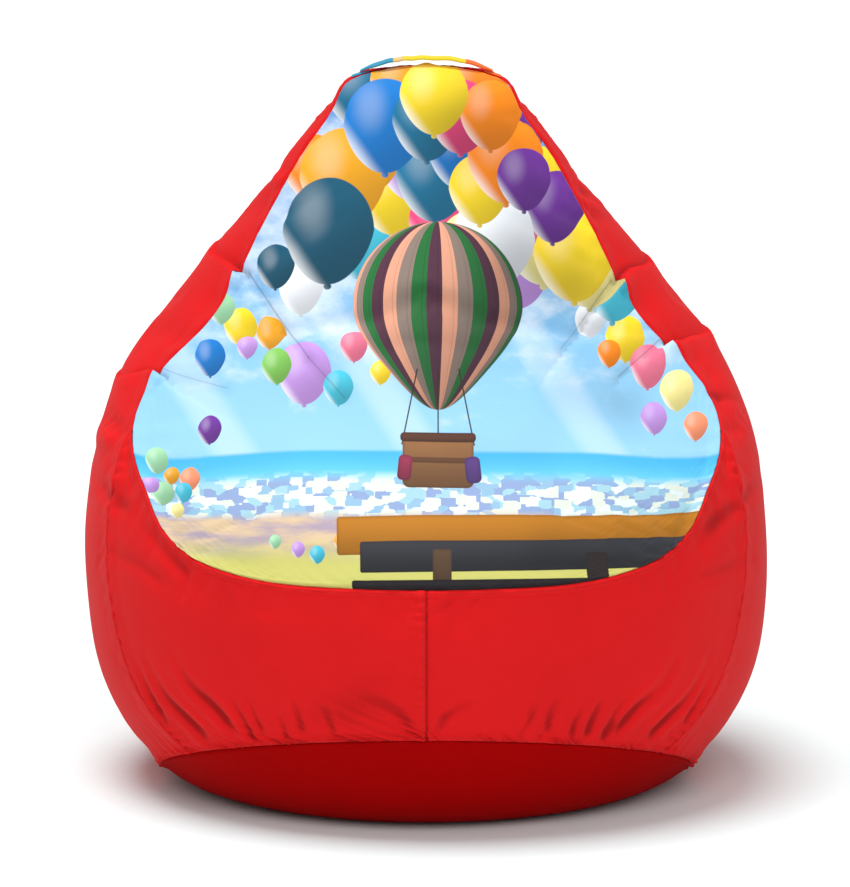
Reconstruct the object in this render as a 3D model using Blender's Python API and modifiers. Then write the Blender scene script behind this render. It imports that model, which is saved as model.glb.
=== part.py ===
"""Pear-shaped bean bag chair with a printed front panel, red side panels and a carry handle.

Metres, +Z up, the front faces -Y, +X to the right as seen from the front.
The bag rests on the flat of its base panel at z = 0. "left" means the -X side.

The bag's outer surface is one loft. Ring number v runs from 0 (middle of the base) to TOP
(the point where the panels meet), and angle phi runs round a ring from the front (0 degrees)
over +X (90) to the back (180). Every cloth piece is a patch of that surface, set inwards by its
own depth, so that the cover, the inner bag and the filling nest like the real ones.
"""

from math import asin, cos, radians, sin, sqrt

import bmesh
import bpy
import numpy as np

# Driving sizes ---------------------------------------------------------------------------------
BASE_RADIUS = 0.310        # flat that rests on the floor
BULGE = 0.140              # how far the side swells past the base: 0.45 m, half of the widest place
FRONT_BULGE_HEIGHT = 0.27  # height of the widest place at the front
BACK_BULGE_HEIGHT = 0.31   # and the height it would have at the back
BACK_BASE_RADIUS = 0.285   # the same two at the back, which leans in towards its arc
BACK_BULGE = 0.165
BACK_RADIUS = 0.75         # the back is one arc, so that the zips can run on it
BACK_CENTRE_Y = -0.3004
BACK_CENTRE_Z = 0.36
TOP_Y = 0.175              # where the panels meet at the top
TOP_Z = 0.912

COVER = 0.0012             # cloth of the cover
SEAM_GAP = 0.0010          # left open between two sewn panels
LINER_DEPTH = 0.0062       # inner bag, below the outer surface
LINER = 0.0008
FILL_DEPTH = 0.0125        # bead filling, below the outer surface

SIDE_SEAM = 69             # degrees: side seam of the lower front, up to the print's widest place
BACK_SEAM = 125            # degrees: seam between a side panel and a back panel
BASE_SEAM_FRONT = 0.1114   # height of the base seam where y = -0.36
BASE_SEAM_SLOPE = 0.327    # how fast that seam drops towards the back
BASE_SEAM_LOWEST = 0.014
PRINT_CORNER = 7.92        # ring where the side seam meets the print's edge
PANEL_TOP = 15.9           # the panels stop just short of the meeting point

ZIP_TAPE = 0.0006
ZIP_TAPE_WIDTH = 0.014
ZIP_TAPE_DEPTH = 0.0028
ZIP_COIL_RADIUS = 0.0013
ZIP_COIL_OFFSET = 0.0025   # coil's middle, from the middle of the zip
ZIP_COIL_DEPTH = 0.0009
ZIP_GAP = 0.0004           # running clearance of the slider
ZIP_SLOT = 0.006           # half of the opening between the panels over a zip
SLOT_FOOT = 1.3            # rings over which that opening widens, below it
SLOT_HEAD = 0.68           # and above it
SLIDER_LENGTH = 0.012
SLIDER_HALF_WIDTH = 0.0044 # of its two plates, without the side walls
STOP_LENGTH = 0.0024
ARC_STEPS = 25
COVER_ZIP_HEIGHTS = (0.185, 0.575)
LINER_ZIP_HEIGHTS = (0.645, 0.80)

HANDLE_Y = 0.168           # the handle's ends are sewn into the print's side seams
HANDLE_SPAN = 0.088        # half of the distance between the handle's ends
HANDLE_RISE = 0.0205
HANDLE_WIDTH = 0.028
HANDLE_END_WIDTH = 0.010
HANDLE_THICKNESS = 0.002
HANDLE_END_Z = 0.9105

# Rings of the bag: half width, then y and z at the front, then y and z at the back ---------------


def back_y(z):
    """y of the bag's back at a height, on its arc."""
    return BACK_CENTRE_Y + sqrt(BACK_RADIUS**2 - (z - BACK_CENTRE_Z) ** 2)


def base_rings():
    """The rounded foot: a quarter turn from the flat base out to the widest ring."""
    rings = []
    for step in range(5):
        turn = radians(22.5 * step)
        reach = BASE_RADIUS + BULGE * sin(turn)
        back_reach = BACK_BASE_RADIUS + BACK_BULGE * sin(turn)
        front = FRONT_BULGE_HEIGHT * (1 - cos(turn))
        back = BACK_BULGE_HEIGHT * (1 - cos(turn))
        rings.append((reach, -reach, front, back_reach, back))
    for step, height in ((3, 0.18), (4, 0.29)):
        reach, front_y, front, _, _ = rings[step]
        rings[step] = (reach, front_y, front, back_y(height), height)
    return rings


# half width, front y, front z, back z: the back's y follows its arc
UPPER_RINGS = (
    (0.4467, -0.437, 0.338, 0.390),
    (0.4345, -0.398, 0.395, 0.490),
    (0.4090, -0.330, 0.432, 0.590),
    (0.3620, -0.250, 0.467, 0.670),
    (0.3080, -0.170, 0.522, 0.735),
    (0.2500, -0.098, 0.600, 0.790),
    (0.2030, -0.035, 0.690, 0.838),
    (0.1620, 0.022, 0.775, 0.873),
    (0.1240, 0.072, 0.848, 0.895),
    (0.0960, 0.115, 0.899, 0.908),
)
RINGS = np.array(
    base_rings()
    + [(w, fy, fz, back_y(bz), bz) for w, fy, fz, bz in UPPER_RINGS]
    + [(0, TOP_Y, TOP_Z, TOP_Y, TOP_Z)]
)
TOP = len(RINGS)

# The print's edge: ring for an angle on its lower arc, and angle for a ring on its sides
PRINT_FOOT = (
    (0, 26, 36, 42, 46, 51.5, 56.5, 62, 69),
    (5.93, 5.90, 5.98, 6.09, 6.25, 6.53, 6.97, 7.36, 7.92),
)
PRINT_SIDE = (
    (7.92, 8.6, 9.3, 10, 10.7, 11.4, 12.1, 13, 16),
    (69, 74, 74.5, 72, 73.3, 78, 79.5, 80.5, 84),
)
PRINT_FOOT_HALF = 48       # degrees: the print's lower row, before its edge turns up
FOOT_ANGLES = (*range(0, PRINT_FOOT_HALF + 1, 6), 55, 62, SIDE_SEAM)
RISER_RINGS = (7.92, 8.6, 9.3, 10, 10.7, 11.4, 12.1, 12.8, 13.5, 14.3, 15.1, PANEL_TOP)
LOWER_ROWS = 11            # rows of a side or back panel below the print's corner
PANEL_COLUMNS = 7
BACK_ANGLES = (*np.linspace(BACK_SEAM, 177.6, PANEL_COLUMNS), 180)  # the last column flanks the zip


def spline_slopes(points):
    """Second differences of the smooth curve that passes through every ring in turn."""
    count = len(points)
    system = np.zeros((count, count))
    bends = np.zeros_like(points)
    system[0, 0] = system[-1, -1] = 1
    for row in range(1, count - 1):
        system[row, row - 1 : row + 2] = (1, 4, 1)
        bends[row] = 6 * (points[row + 1] - 2 * points[row] + points[row - 1])
    return np.linalg.solve(system, bends)


BENDS = spline_slopes(RINGS)


def ring_at(v):
    """Ring values at any v; below ring 1 they shrink to the middle of the base."""
    v = np.asarray(v, float)
    along = np.clip(v - 1, 0, TOP - 1 - 1e-9)
    index = along.astype(int)
    high = (along - index)[..., None]
    low = 1 - high
    curve = low * RINGS[index] + high * RINGS[index + 1]
    curve += ((low**3 - low) * BENDS[index] + (high**3 - high) * BENDS[index + 1]) / 6
    flat = RINGS[0] * np.clip(v, 0, 1)[..., None]
    return np.where((v < 1)[..., None], flat, curve)


def outer_point(phi, v):
    """Point of the bag's outer surface: an ellipse through the ring's front and back points."""
    half, front_y, front_z, rear_y, rear_z = np.moveaxis(ring_at(v), -1, 0)
    forward = np.cos(phi)
    y = (front_y + rear_y) / 2 + (front_y - rear_y) / 2 * forward
    z = (front_z + rear_z) / 2 + (front_z - rear_z) / 2 * forward
    return np.stack([half * np.sin(phi), y, np.maximum(z, 0)], -1)


def bag_point(phi, v, depth=0.0):
    """Point set inwards from the outer surface by depth, along the surface's normal."""
    phi, v = np.broadcast_arrays(np.asarray(phi, float), np.asarray(v, float))
    step = 0.02
    middle = np.clip(v, step, TOP - step)
    around = outer_point(phi + step, middle) - outer_point(phi - step, middle)
    upward = outer_point(phi, middle + step) - outer_point(phi, middle - step)
    normal = np.cross(around, upward)
    normal /= np.linalg.norm(normal, axis=-1, keepdims=True)
    return outer_point(phi, v) - normal * depth


def base_seam_ring(phi):
    """Ring at which the sloping base seam crosses an angle, by halving."""
    low, high = 1.0, 5.0
    for _ in range(40):
        middle = (low + high) / 2
        _, y, z = outer_point(phi, middle)
        seam = max(BASE_SEAM_FRONT - BASE_SEAM_SLOPE * (y + 0.36), BASE_SEAM_LOWEST)
        low, high = (middle, high) if z < seam else (low, middle)
    return low


# Blender helpers --------------------------------------------------------------------------------


def clear_scene():
    for old in list(bpy.data.objects):
        bpy.data.objects.remove(old, do_unlink=True)


def collection(name):
    group = bpy.data.collections.new(name)
    bpy.context.scene.collection.children.link(group)
    return group


clear_scene()
PARTS = collection("bean_bag_chair")
CUTTERS = collection("cutters")


def material(name, colour, roughness, metallic=0.0):
    made = bpy.data.materials.new(name)
    made.use_nodes = True
    shader = made.node_tree.nodes["Principled BSDF"]
    shader.inputs["Base Color"].default_value = (*colour, 1)
    shader.inputs["Roughness"].default_value = roughness
    shader.inputs["Metallic"].default_value = metallic
    made.diffuse_color = (*colour, 1)
    return made


RED_CLOTH = (0.62, 0.018, 0.022)


def place(name, mesh, finish, group=PARTS):
    """A named object in its collection, with its own copy of a finish."""
    part = bpy.data.objects.new(name, mesh)
    group.objects.link(part)
    colour, roughness, metallic = finish
    mesh.materials.append(material(name, colour, roughness, metallic))
    return part


RED = (RED_CLOTH, 0.85, 0.0)
DARK_RED = ((0.26, 0.006, 0.008), 0.85, 0.0)
PRINTED = ((0.36, 0.62, 0.80), 0.8, 0.0)
PRINTED_BAND = ((0.05, 0.45, 0.47), 0.8, 0.0)
LINER_CLOTH = ((0.80, 0.79, 0.76), 0.9, 0.0)
BEADS = ((0.92, 0.92, 0.90), 0.6, 0.0)
ZIP_CLOTH = ((0.42, 0.012, 0.016), 0.8, 0.0)
ZIP_NYLON = ((0.50, 0.015, 0.02), 0.45, 0.0)
LINER_ZIP = ((0.75, 0.75, 0.73), 0.6, 0.0)
ZIP_METAL = ((0.62, 0.62, 0.64), 0.3, 1.0)
LABEL = ((0.85, 0.85, 0.83), 0.7, 0.0)


def grid_mesh(name, points):
    """Quads between the rows and columns of a block of points, facing along row x column."""
    rows, columns = points.shape[:2]
    number = np.arange(rows * columns).reshape(rows, columns)
    corners = (number[:-1, :-1], number[:-1, 1:], number[1:, 1:], number[1:, :-1])
    faces = np.stack(corners, -1).reshape(-1, 4)
    mesh = bpy.data.meshes.new(name)
    mesh.from_pydata(points.reshape(-1, 3).tolist(), [], faces.tolist())
    return mesh


def thicken(part, thickness, side=-1.0):
    """Gives an open surface its thickness: inwards for side -1, outwards for side 1."""
    wall = part.modifiers.new("cloth", "SOLIDIFY")
    wall.thickness = thickness
    wall.offset = side
    return part


def soft_shade(part, angle=40):
    part.data.shade_smooth()
    part.data.set_sharp_from_angle(angle=radians(angle))
    return part


def pull_in(points, edges):
    """Moves the named edges of a block of points half a seam gap inwards, square to the edge."""
    views = {
        "foot": (points[0], points[1]),
        "head": (points[-1], points[-2]),
        "start": (points[:, 0], points[:, 1]),
        "end": (points[:, -1], points[:, -2]),
    }
    shifts = []
    for edge in edges:
        outer, inner = views[edge]
        along = np.gradient(outer, axis=0)
        along /= np.linalg.norm(along, axis=-1, keepdims=True)
        towards = inner - outer
        towards -= np.sum(towards * along, -1, keepdims=True) * along
        towards /= np.linalg.norm(towards, axis=-1, keepdims=True)
        shifts.append((outer, towards * SEAM_GAP / 2))
    for outer, shift in shifts:
        outer += shift
    return points


def mirrored(points):
    """The same block on the other side of the chair, its columns turned round to face out."""
    return (points * (-1, 1, 1))[:, ::-1]


# Cover ------------------------------------------------------------------------------------------


def riser_rings(phi):
    """Rings of a side or back panel's rows at one angle: base seam, corner height, then the top."""
    foot = base_seam_ring(radians(phi))
    lower = np.linspace(foot, PRINT_CORNER, LOWER_ROWS + 1)
    return np.concatenate([lower, RISER_RINGS[1:]])


def print_edge(v):
    return np.interp(v, PRINT_SIDE[0], PRINT_SIDE[1])


def front_print_panel():
    """Rows fan out from the foot's arc, widen with the print's edge and close at the top."""
    turns = [a for a in FOOT_ANGLES if a > PRINT_FOOT_HALF]
    edge_angles = [PRINT_FOOT_HALF] + turns + [print_edge(v) for v in RISER_RINGS[1:]]
    edge_rings = [np.interp(a, *PRINT_FOOT) for a in [PRINT_FOOT_HALF] + turns]
    edge_rings = np.array(edge_rings + list(RISER_RINGS[1:]))
    across = np.linspace(-1, 1, 2 * PRINT_FOOT_HALF // 6 + 1)
    foot = np.interp(np.abs(across) * PRINT_FOOT_HALF, *PRINT_FOOT)
    rise = np.clip(1 - (edge_rings - edge_rings[0]) / 3.0, 0, 1) ** 2
    phi = np.radians(np.outer(edge_angles, across))
    v = edge_rings[:, None] + np.outer(rise, foot - foot[-1])
    points = pull_in(bag_point(phi, v), ("foot", "start", "end"))
    return thicken(place("front_print_panel", grid_mesh("front_print_panel", points), PRINTED), COVER)


def lower_front_points():
    """Right half of the lower front, from the centre seam to the side seam."""
    angles = np.array(FOOT_ANGLES, float)
    foot = np.array([base_seam_ring(radians(a)) for a in angles])
    head = np.interp(angles, *PRINT_FOOT)
    share = np.linspace(0, 1, LOWER_ROWS + 1)[:, None]
    v = foot + (head - foot) * share
    return pull_in(bag_point(np.radians(angles), v), ("foot", "head", "start", "end"))


def side_points():
    """Right side panel: front edge on the side seam and the print, rear edge on the back seam."""
    share = np.linspace(0, 1, PANEL_COLUMNS + 1)
    front_rings = riser_rings(SIDE_SEAM)
    front = np.where(front_rings <= PRINT_CORNER, SIDE_SEAM, print_edge(front_rings))
    phi = front[:, None] + (BACK_SEAM - front[:, None]) * share
    feet = SIDE_SEAM + (BACK_SEAM - SIDE_SEAM) * share
    v = np.stack([riser_rings(angle) for angle in feet], 1)
    return pull_in(bag_point(np.radians(phi), v), ("foot", "start", "end"))


def slot_half_width(v, slot_rings):
    """Half of the opening at the back seam: ZIP_SLOT between two rings, closing beyond them."""
    low, high = slot_rings
    rows = (low - SLOT_FOOT, low, high, high + SLOT_HEAD)
    return np.interp(v, rows, (SEAM_GAP / 2, ZIP_SLOT, ZIP_SLOT, SEAM_GAP / 2))


def back_points():
    """Right back panel, from the back seam to the zip in the middle of the back."""
    v = np.stack([riser_rings(angle) for angle in BACK_ANGLES], 1)
    points = pull_in(bag_point(np.radians(BACK_ANGLES), v), ("foot", "start"))
    points[:, -1, 0] = slot_half_width(v[:, -1], (3.9, PRINT_CORNER))
    return points


def both_sides(name, points, finish, thickness=COVER):
    """The +X piece and its mirror image on the -X side."""
    for side, block in (("right", points), ("left", mirrored(points))):
        label = f"{name}_{side}"
        thicken(place(label, grid_mesh(label, block), finish), thickness)


def whole_turn(half_turn):
    """Adds the mirror image of the angles 0 to 180."""
    half = np.array(half_turn)
    return np.concatenate([half, 360 - half[-2:0:-1]])


def base_angles():
    """Angles of every panel's foot, once round the bag."""
    side = np.linspace(SIDE_SEAM, BACK_SEAM, PANEL_COLUMNS + 1)[1:]
    return whole_turn(np.concatenate([FOOT_ANGLES, side, BACK_ANGLES[1:]]))


def round_panel(name, angles, rings_at_angle, finish, depth, thickness):
    """A dished disc: a middle point, then closed rings out to an edge that the angles may vary."""
    phi = np.radians(angles)
    rows = [bag_point(phi, rings, depth) for rings in rings_at_angle]
    towards = rows[-2] - rows[-1]
    rows[-1] += towards / np.linalg.norm(towards, axis=-1, keepdims=True) * SEAM_GAP / 2
    count = len(phi)
    points = [(0.0, 0.0, depth)] + [tuple(p) for row in rows for p in row]
    faces = [(0, 1 + (i + 1) % count, 1 + i) for i in range(count)]
    for row in range(len(rows) - 1):
        first = 1 + row * count
        for i in range(count):
            j = (i + 1) % count
            faces.append((first + i, first + j, first + count + j, first + count + i))
    mesh = bpy.data.meshes.new(name)
    mesh.from_pydata(points, [], faces)
    return thicken(place(name, mesh, finish), thickness)


def base_panel():
    angles = base_angles()
    edge = np.array([base_seam_ring(radians(a)) for a in angles])
    ones = np.ones_like(edge)
    rings = [0.55 * ones, ones] + [1 + (edge - 1) * share for share in (1 / 3, 2 / 3, 1)]
    round_panel("base_panel", angles, rings, DARK_RED, 0, COVER)


# Inner bag and filling --------------------------------------------------------------------------

LINER_SEAM = 2.2           # ring of the inner bag's base seam
LINER_SLOT = (8.4, 11.4)   # rings between which its zip is let in
LINER_ROWS = np.concatenate([np.linspace(LINER_SEAM, 8.2, 8), np.linspace(8.9, 15.6, 10)])
LINER_ANGLES = (*np.linspace(0, 177, 15), 180)


def liner():
    """Two halves with the inner zip between them at the back, on a round base."""
    points = bag_point(np.radians(LINER_ANGLES), LINER_ROWS[:, None], LINER_DEPTH)
    pull_in(points, ("foot", "start"))
    points[:, -1, 0] = slot_half_width(LINER_ROWS, LINER_SLOT)
    both_sides("inner_bag", points, LINER_CLOTH, LINER)
    ones = np.ones(2 * len(LINER_ANGLES) - 2)
    rings = [0.55 * ones, ones, LINER_SEAM * ones]
    round_panel("inner_bag_base", whole_turn(LINER_ANGLES), rings, LINER_CLOTH, LINER_DEPTH, LINER)


def bead_fill():
    """The filling as one closed body, a little inside the inner bag."""
    phi = np.radians(np.linspace(0, 360, 30, endpoint=False))
    rings = np.concatenate([[0.55, 1.0], LINER_ROWS])
    rows = bag_point(phi, rings[:, None], FILL_DEPTH)
    count = len(phi)
    points = [(0.0, 0.0, FILL_DEPTH)] + [tuple(p) for p in rows.reshape(-1, 3)]
    points.append((0.0, TOP_Y, TOP_Z - FILL_DEPTH))
    last = len(points) - 1
    crown = last - count
    faces = []
    for i in range(count):
        j = (i + 1) % count
        faces.append((0, 1 + j, 1 + i))
        faces.append((last, crown + i, crown + j))
        for row in range(len(rings) - 1):
            first = 1 + row * count
            faces.append((first + i, first + j, first + count + j, first + count + i))
    mesh = bpy.data.meshes.new("bead_fill")
    mesh.from_pydata(points, [], faces)
    place("bead_fill", mesh, BEADS)


# Zips: everything lies on arcs about the X axis through the back's centre -------------------------


def turn_at(height):
    """Angle about the back's centre at which its arc reaches a height."""
    return asin((height - BACK_CENTRE_Z) / BACK_RADIUS)


def arc_point(x, radius, turn):
    return (x, BACK_CENTRE_Y + radius * cos(turn), BACK_CENTRE_Z + radius * sin(turn))


def box(name, low, high, finish=ZIP_METAL, group=PARTS):
    """A box between two corners, its object at the origin."""
    low, high = np.array(low), np.array(high)
    shape = bmesh.new()
    bmesh.ops.create_cube(shape, size=1)
    bmesh.ops.scale(shape, vec=tuple(high - low), verts=shape.verts)
    bmesh.ops.translate(shape, vec=tuple((low + high) / 2), verts=shape.verts)
    mesh = bpy.data.meshes.new(name)
    shape.to_mesh(mesh)
    shape.free()
    return place(name, mesh, finish, group)


def boolean(part, other, operation):
    """Adds or takes away a guide shape, which stays hidden in the cutters collection."""
    other.parent = part.parent
    other.location = part.location
    other.rotation_euler = part.rotation_euler
    other.hide_render = True
    other.display_type = "WIRE"
    change = part.modifiers.new(operation.lower(), "BOOLEAN")
    change.operation = operation
    change.solver = "EXACT"
    change.object = other


def pivot(name, place_at, turn=0.0, parent=None):
    """An empty on a joint's axis, turned about X."""
    empty = bpy.data.objects.new(name, None)
    PARTS.objects.link(empty)
    empty.parent = parent
    empty.location = place_at
    empty.rotation_euler = (turn, 0, 0)
    return empty


def strip(name, low_x, high_x, radius, turns, finish):
    """A flat band that follows the arc."""
    angles = np.linspace(*turns, ARC_STEPS)
    points = np.array([[arc_point(x, radius, a) for x in (low_x, high_x)] for a in angles])
    return thicken(place(name, grid_mesh(name, points[::-1]), finish), ZIP_TAPE)


def coil(name, x, radius, turns, finish):
    """One side's row of nylon teeth as a cord along the arc."""
    curve = bpy.data.curves.new(name, "CURVE")
    curve.dimensions = "3D"
    curve.bevel_depth = ZIP_COIL_RADIUS
    curve.bevel_resolution = 2
    curve.use_fill_caps = True
    run = curve.splines.new("POLY")
    angles = np.linspace(*turns, ARC_STEPS)
    run.points.add(len(angles) - 1)
    for point, angle in zip(run.points, angles):
        point.co = (*arc_point(x, radius, angle), 1)
    return place(name, curve, finish)


def slider(name, hub, surface):
    """Zip slider in its hub's frame: y outwards, z along the zip, middle on the zip's surface."""
    half = SLIDER_LENGTH / 2
    roof = ZIP_COIL_RADIUS - ZIP_COIL_DEPTH + ZIP_GAP
    floor = -(ZIP_TAPE_DEPTH + ZIP_TAPE + ZIP_GAP)
    width = SLIDER_HALF_WIDTH
    parts = (
        ((-width, roof, -half), (width, roof + 0.0012, half)),
        ((-width, floor - 0.0012, -half), (width, floor, half)),
        ((-0.0008, floor - 0.0005, 0.001), (0.0008, roof + 0.0005, half - 0.001)),
        ((-width - 0.0006, -0.0015, -half), (-width + 0.0001, roof + 0.0012, half)),
        ((width - 0.0001, -0.0015, -half), (width + 0.0006, roof + 0.0012, half)),
    )
    made = box(name, *parts[0])
    made.parent = hub
    made.location = (0, surface, 0)
    for number, (low, high) in enumerate(parts[1:]):
        boolean(made, box(f"{name}_add{number}", low, high, group=CUTTERS), "UNION")
    return made, roof + 0.0012


BAIL_HALF = 0.0035         # half length of the arch that holds the pull
BAIL_HEIGHT = 0.0034
BAIL_WALL = 0.0012
PULL_BAR = 0.0007          # radius of the pull's crossbar
PULL_SHIFT = 0.0011        # crossbar rests this far below the arch's middle


def add_bail(made, name, roof):
    """The arch on the slider's back: a block with a slot through it for the crossbar."""
    low = (-0.0007, roof - 0.0003, -BAIL_HALF)
    high = (0.0007, roof + BAIL_HEIGHT, BAIL_HALF)
    boolean(made, box(f"{name}_arch", low, high, group=CUTTERS), "UNION")
    inner = BAIL_HALF - BAIL_WALL
    low = (-0.002, roof, -inner)
    high = (0.002, roof + BAIL_HEIGHT - BAIL_WALL, inner)
    boolean(made, box(f"{name}_slot", low, high, group=CUTTERS), "DIFFERENCE")


def pull_tab(name, hub):
    """Hangs from its crossbar at the hub: a plate with a window that clears the arch."""
    thick = 0.0006
    made = box(name, (-0.0035, -thick, -0.028), (0.0035, thick, PULL_BAR))
    made.parent = hub
    window = box(f"{name}_window", (-0.0019, -0.002, -0.0062), (0.0019, 0.002, -PULL_BAR), group=CUTTERS)
    boolean(made, window, "DIFFERENCE")
    edge = made.modifiers.new("edge", "BEVEL")
    edge.width = 0.0002
    edge.segments = 1
    edge.limit_method = "ANGLE"
    return made


def stop(name, surface, turn):
    """A small bar across both coils' ends."""
    hub = pivot(f"{name}_seat", (0, BACK_CENTRE_Y, BACK_CENTRE_Z), turn)
    half = STOP_LENGTH / 2
    made = box(name, (-0.0042, -0.0016, -half), (0.0042, 0.0022, half))
    made.parent = hub
    made.location = (0, surface, 0)


def zip_travel(heights):
    """Turns of the two stops, of the coil's ends and of the slider's two limits."""
    low, high = (turn_at(z) for z in heights)
    clear = (STOP_LENGTH / 2 + ZIP_GAP) / BACK_RADIUS
    reach = clear + SLIDER_LENGTH / 2 / BACK_RADIUS
    return (low, high), (low + clear, high - clear), (low + reach, high - reach)


def zip_set(prefix, heights, surface, tape_finish, coil_finish):
    """Tapes, coils, stops and the slider, closed at the lower stop."""
    stops, coils, travel = zip_travel(heights)
    margin = 0.008 / BACK_RADIUS
    tape_turns = (stops[0] - margin, stops[1] + margin)
    tape_radius = surface - ZIP_TAPE_DEPTH
    coil_radius = surface - ZIP_COIL_DEPTH
    inner, outer = 0.0016, 0.0016 + ZIP_TAPE_WIDTH
    strip(f"{prefix}_tape_right", inner, outer, tape_radius, tape_turns, tape_finish)
    strip(f"{prefix}_tape_left", -outer, -inner, tape_radius, tape_turns, tape_finish)
    coil(f"{prefix}_coil_right", ZIP_COIL_OFFSET, coil_radius, coils, coil_finish)
    coil(f"{prefix}_coil_left", -ZIP_COIL_OFFSET, coil_radius, coils, coil_finish)
    stop(f"{prefix}_bottom_stop", surface, stops[0])
    stop(f"{prefix}_top_stop", surface, stops[1])
    hub = pivot(f"{prefix}_travel_axis", (0, BACK_CENTRE_Y, BACK_CENTRE_Z), travel[0])
    made, roof = slider(f"{prefix}_slider", hub, surface)
    return made, roof, hub, travel


def cover_zip():
    surface = BACK_RADIUS
    made, roof, hub, travel = zip_set("cover_zip", COVER_ZIP_HEIGHTS, surface, ZIP_CLOTH, ZIP_NYLON)
    add_bail(made, "cover_zip_slider", roof)
    eye = (0, surface + roof + PULL_BAR + ZIP_GAP, -PULL_SHIFT)
    pull_tab("cover_zip_pull", pivot("cover_zip_pull_axis", eye, -travel[0], hub))


def liner_zip():
    surface = BACK_RADIUS - LINER_DEPTH
    zip_set("inner_zip", LINER_ZIP_HEIGHTS, surface, LINER_ZIP, LINER_ZIP)


# Handle and label -------------------------------------------------------------------------------


def carry_handle():
    """A flat band arched over the top, narrowed where its ends are sewn down."""
    along = np.linspace(-1, 1, 21)
    x = HANDLE_SPAN * along
    z = HANDLE_RISE * (1 - np.abs(along) ** 2.6)
    ease = np.clip((1 - np.abs(along)) / 0.25, 0, 1)
    ease = ease * ease * (3 - 2 * ease)
    half = (HANDLE_END_WIDTH + (HANDLE_WIDTH - HANDLE_END_WIDTH) * ease) / 2
    across = np.linspace(-1, 1, 3)
    points = np.stack(
        [
            np.broadcast_to(x[:, None], (len(x), len(across))),
            half[:, None] * across,
            np.broadcast_to(z[:, None], (len(x), len(across))),
        ],
        -1,
    )
    band = place("carry_handle", grid_mesh("carry_handle", points[:, ::-1]), PRINTED_BAND)
    band.parent = pivot("carry_handle_axis", (0, HANDLE_Y, HANDLE_END_Z))
    thicken(band, HANDLE_THICKNESS, side=0)


def handle_ends():
    """The sewn-down ends of the band: small patches on the cover under the handle's ends."""
    phi = np.radians(np.linspace(85, 99, 4))
    v = np.linspace(14.95, 15.28, 4)[:, None]
    both_sides("handle_end", bag_point(phi, v, -0.0012), PRINTED_BAND, 0.0008)


def care_label():
    """A blank woven tab sewn into the left back seam, lying on the back panel."""
    phi = np.radians(np.linspace(-132, -126.5, 4))
    v = np.linspace(2.7, 3.4, 5)[:, None]
    points = bag_point(phi, v, -0.0012)
    thicken(place("care_label", grid_mesh("care_label", points), LABEL), 0.0004)


front_print_panel()
both_sides("lower_front_panel", lower_front_points(), RED)
both_sides("side_panel", side_points(), RED)
both_sides("back_panel", back_points(), RED)
base_panel()
liner()
bead_fill()
cover_zip()
liner_zip()
carry_handle()
handle_ends()
care_label()
for shape in PARTS.objects:
    if shape.type == "MESH":
        soft_shade(shape)
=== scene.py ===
"""Looks of the pear-shaped bean bag chair: sewn cloth panels over a bead filling.

Every cloth panel is a patch of one bag surface. A point of that surface is named by an angle
phi (0 at the front, 90 at +X, 180 at the back) and a ring number v (0 in the middle of the base,
TOP where the panels meet). A panel's final shape is the patch, plus what the cloth simulation
moved, plus its seams, puckers and folds, all along the surface's normal.
"""

import math

import bpy
import numpy as np
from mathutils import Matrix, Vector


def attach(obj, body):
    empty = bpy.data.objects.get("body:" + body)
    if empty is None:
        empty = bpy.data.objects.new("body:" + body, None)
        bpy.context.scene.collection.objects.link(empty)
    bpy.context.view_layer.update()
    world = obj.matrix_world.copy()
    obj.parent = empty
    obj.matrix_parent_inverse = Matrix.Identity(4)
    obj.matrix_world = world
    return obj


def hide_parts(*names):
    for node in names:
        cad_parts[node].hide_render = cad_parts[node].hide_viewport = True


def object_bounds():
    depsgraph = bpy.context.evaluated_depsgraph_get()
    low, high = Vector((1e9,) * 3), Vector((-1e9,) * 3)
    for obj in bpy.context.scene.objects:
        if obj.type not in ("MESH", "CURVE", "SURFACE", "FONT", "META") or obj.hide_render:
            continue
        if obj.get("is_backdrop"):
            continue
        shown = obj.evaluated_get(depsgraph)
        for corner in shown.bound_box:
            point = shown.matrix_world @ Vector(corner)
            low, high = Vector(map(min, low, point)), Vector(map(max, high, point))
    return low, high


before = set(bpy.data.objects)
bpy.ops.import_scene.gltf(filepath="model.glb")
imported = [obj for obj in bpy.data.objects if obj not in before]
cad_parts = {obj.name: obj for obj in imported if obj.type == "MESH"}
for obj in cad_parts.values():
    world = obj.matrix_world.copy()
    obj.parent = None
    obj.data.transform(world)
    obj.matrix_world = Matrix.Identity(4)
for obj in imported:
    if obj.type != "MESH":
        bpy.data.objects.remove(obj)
CAD_LOW, CAD_HIGH = (np.array(corner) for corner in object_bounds())

# The bag's surface, the same loft as the CAD's, fitted to the frame -------------------------------

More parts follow.
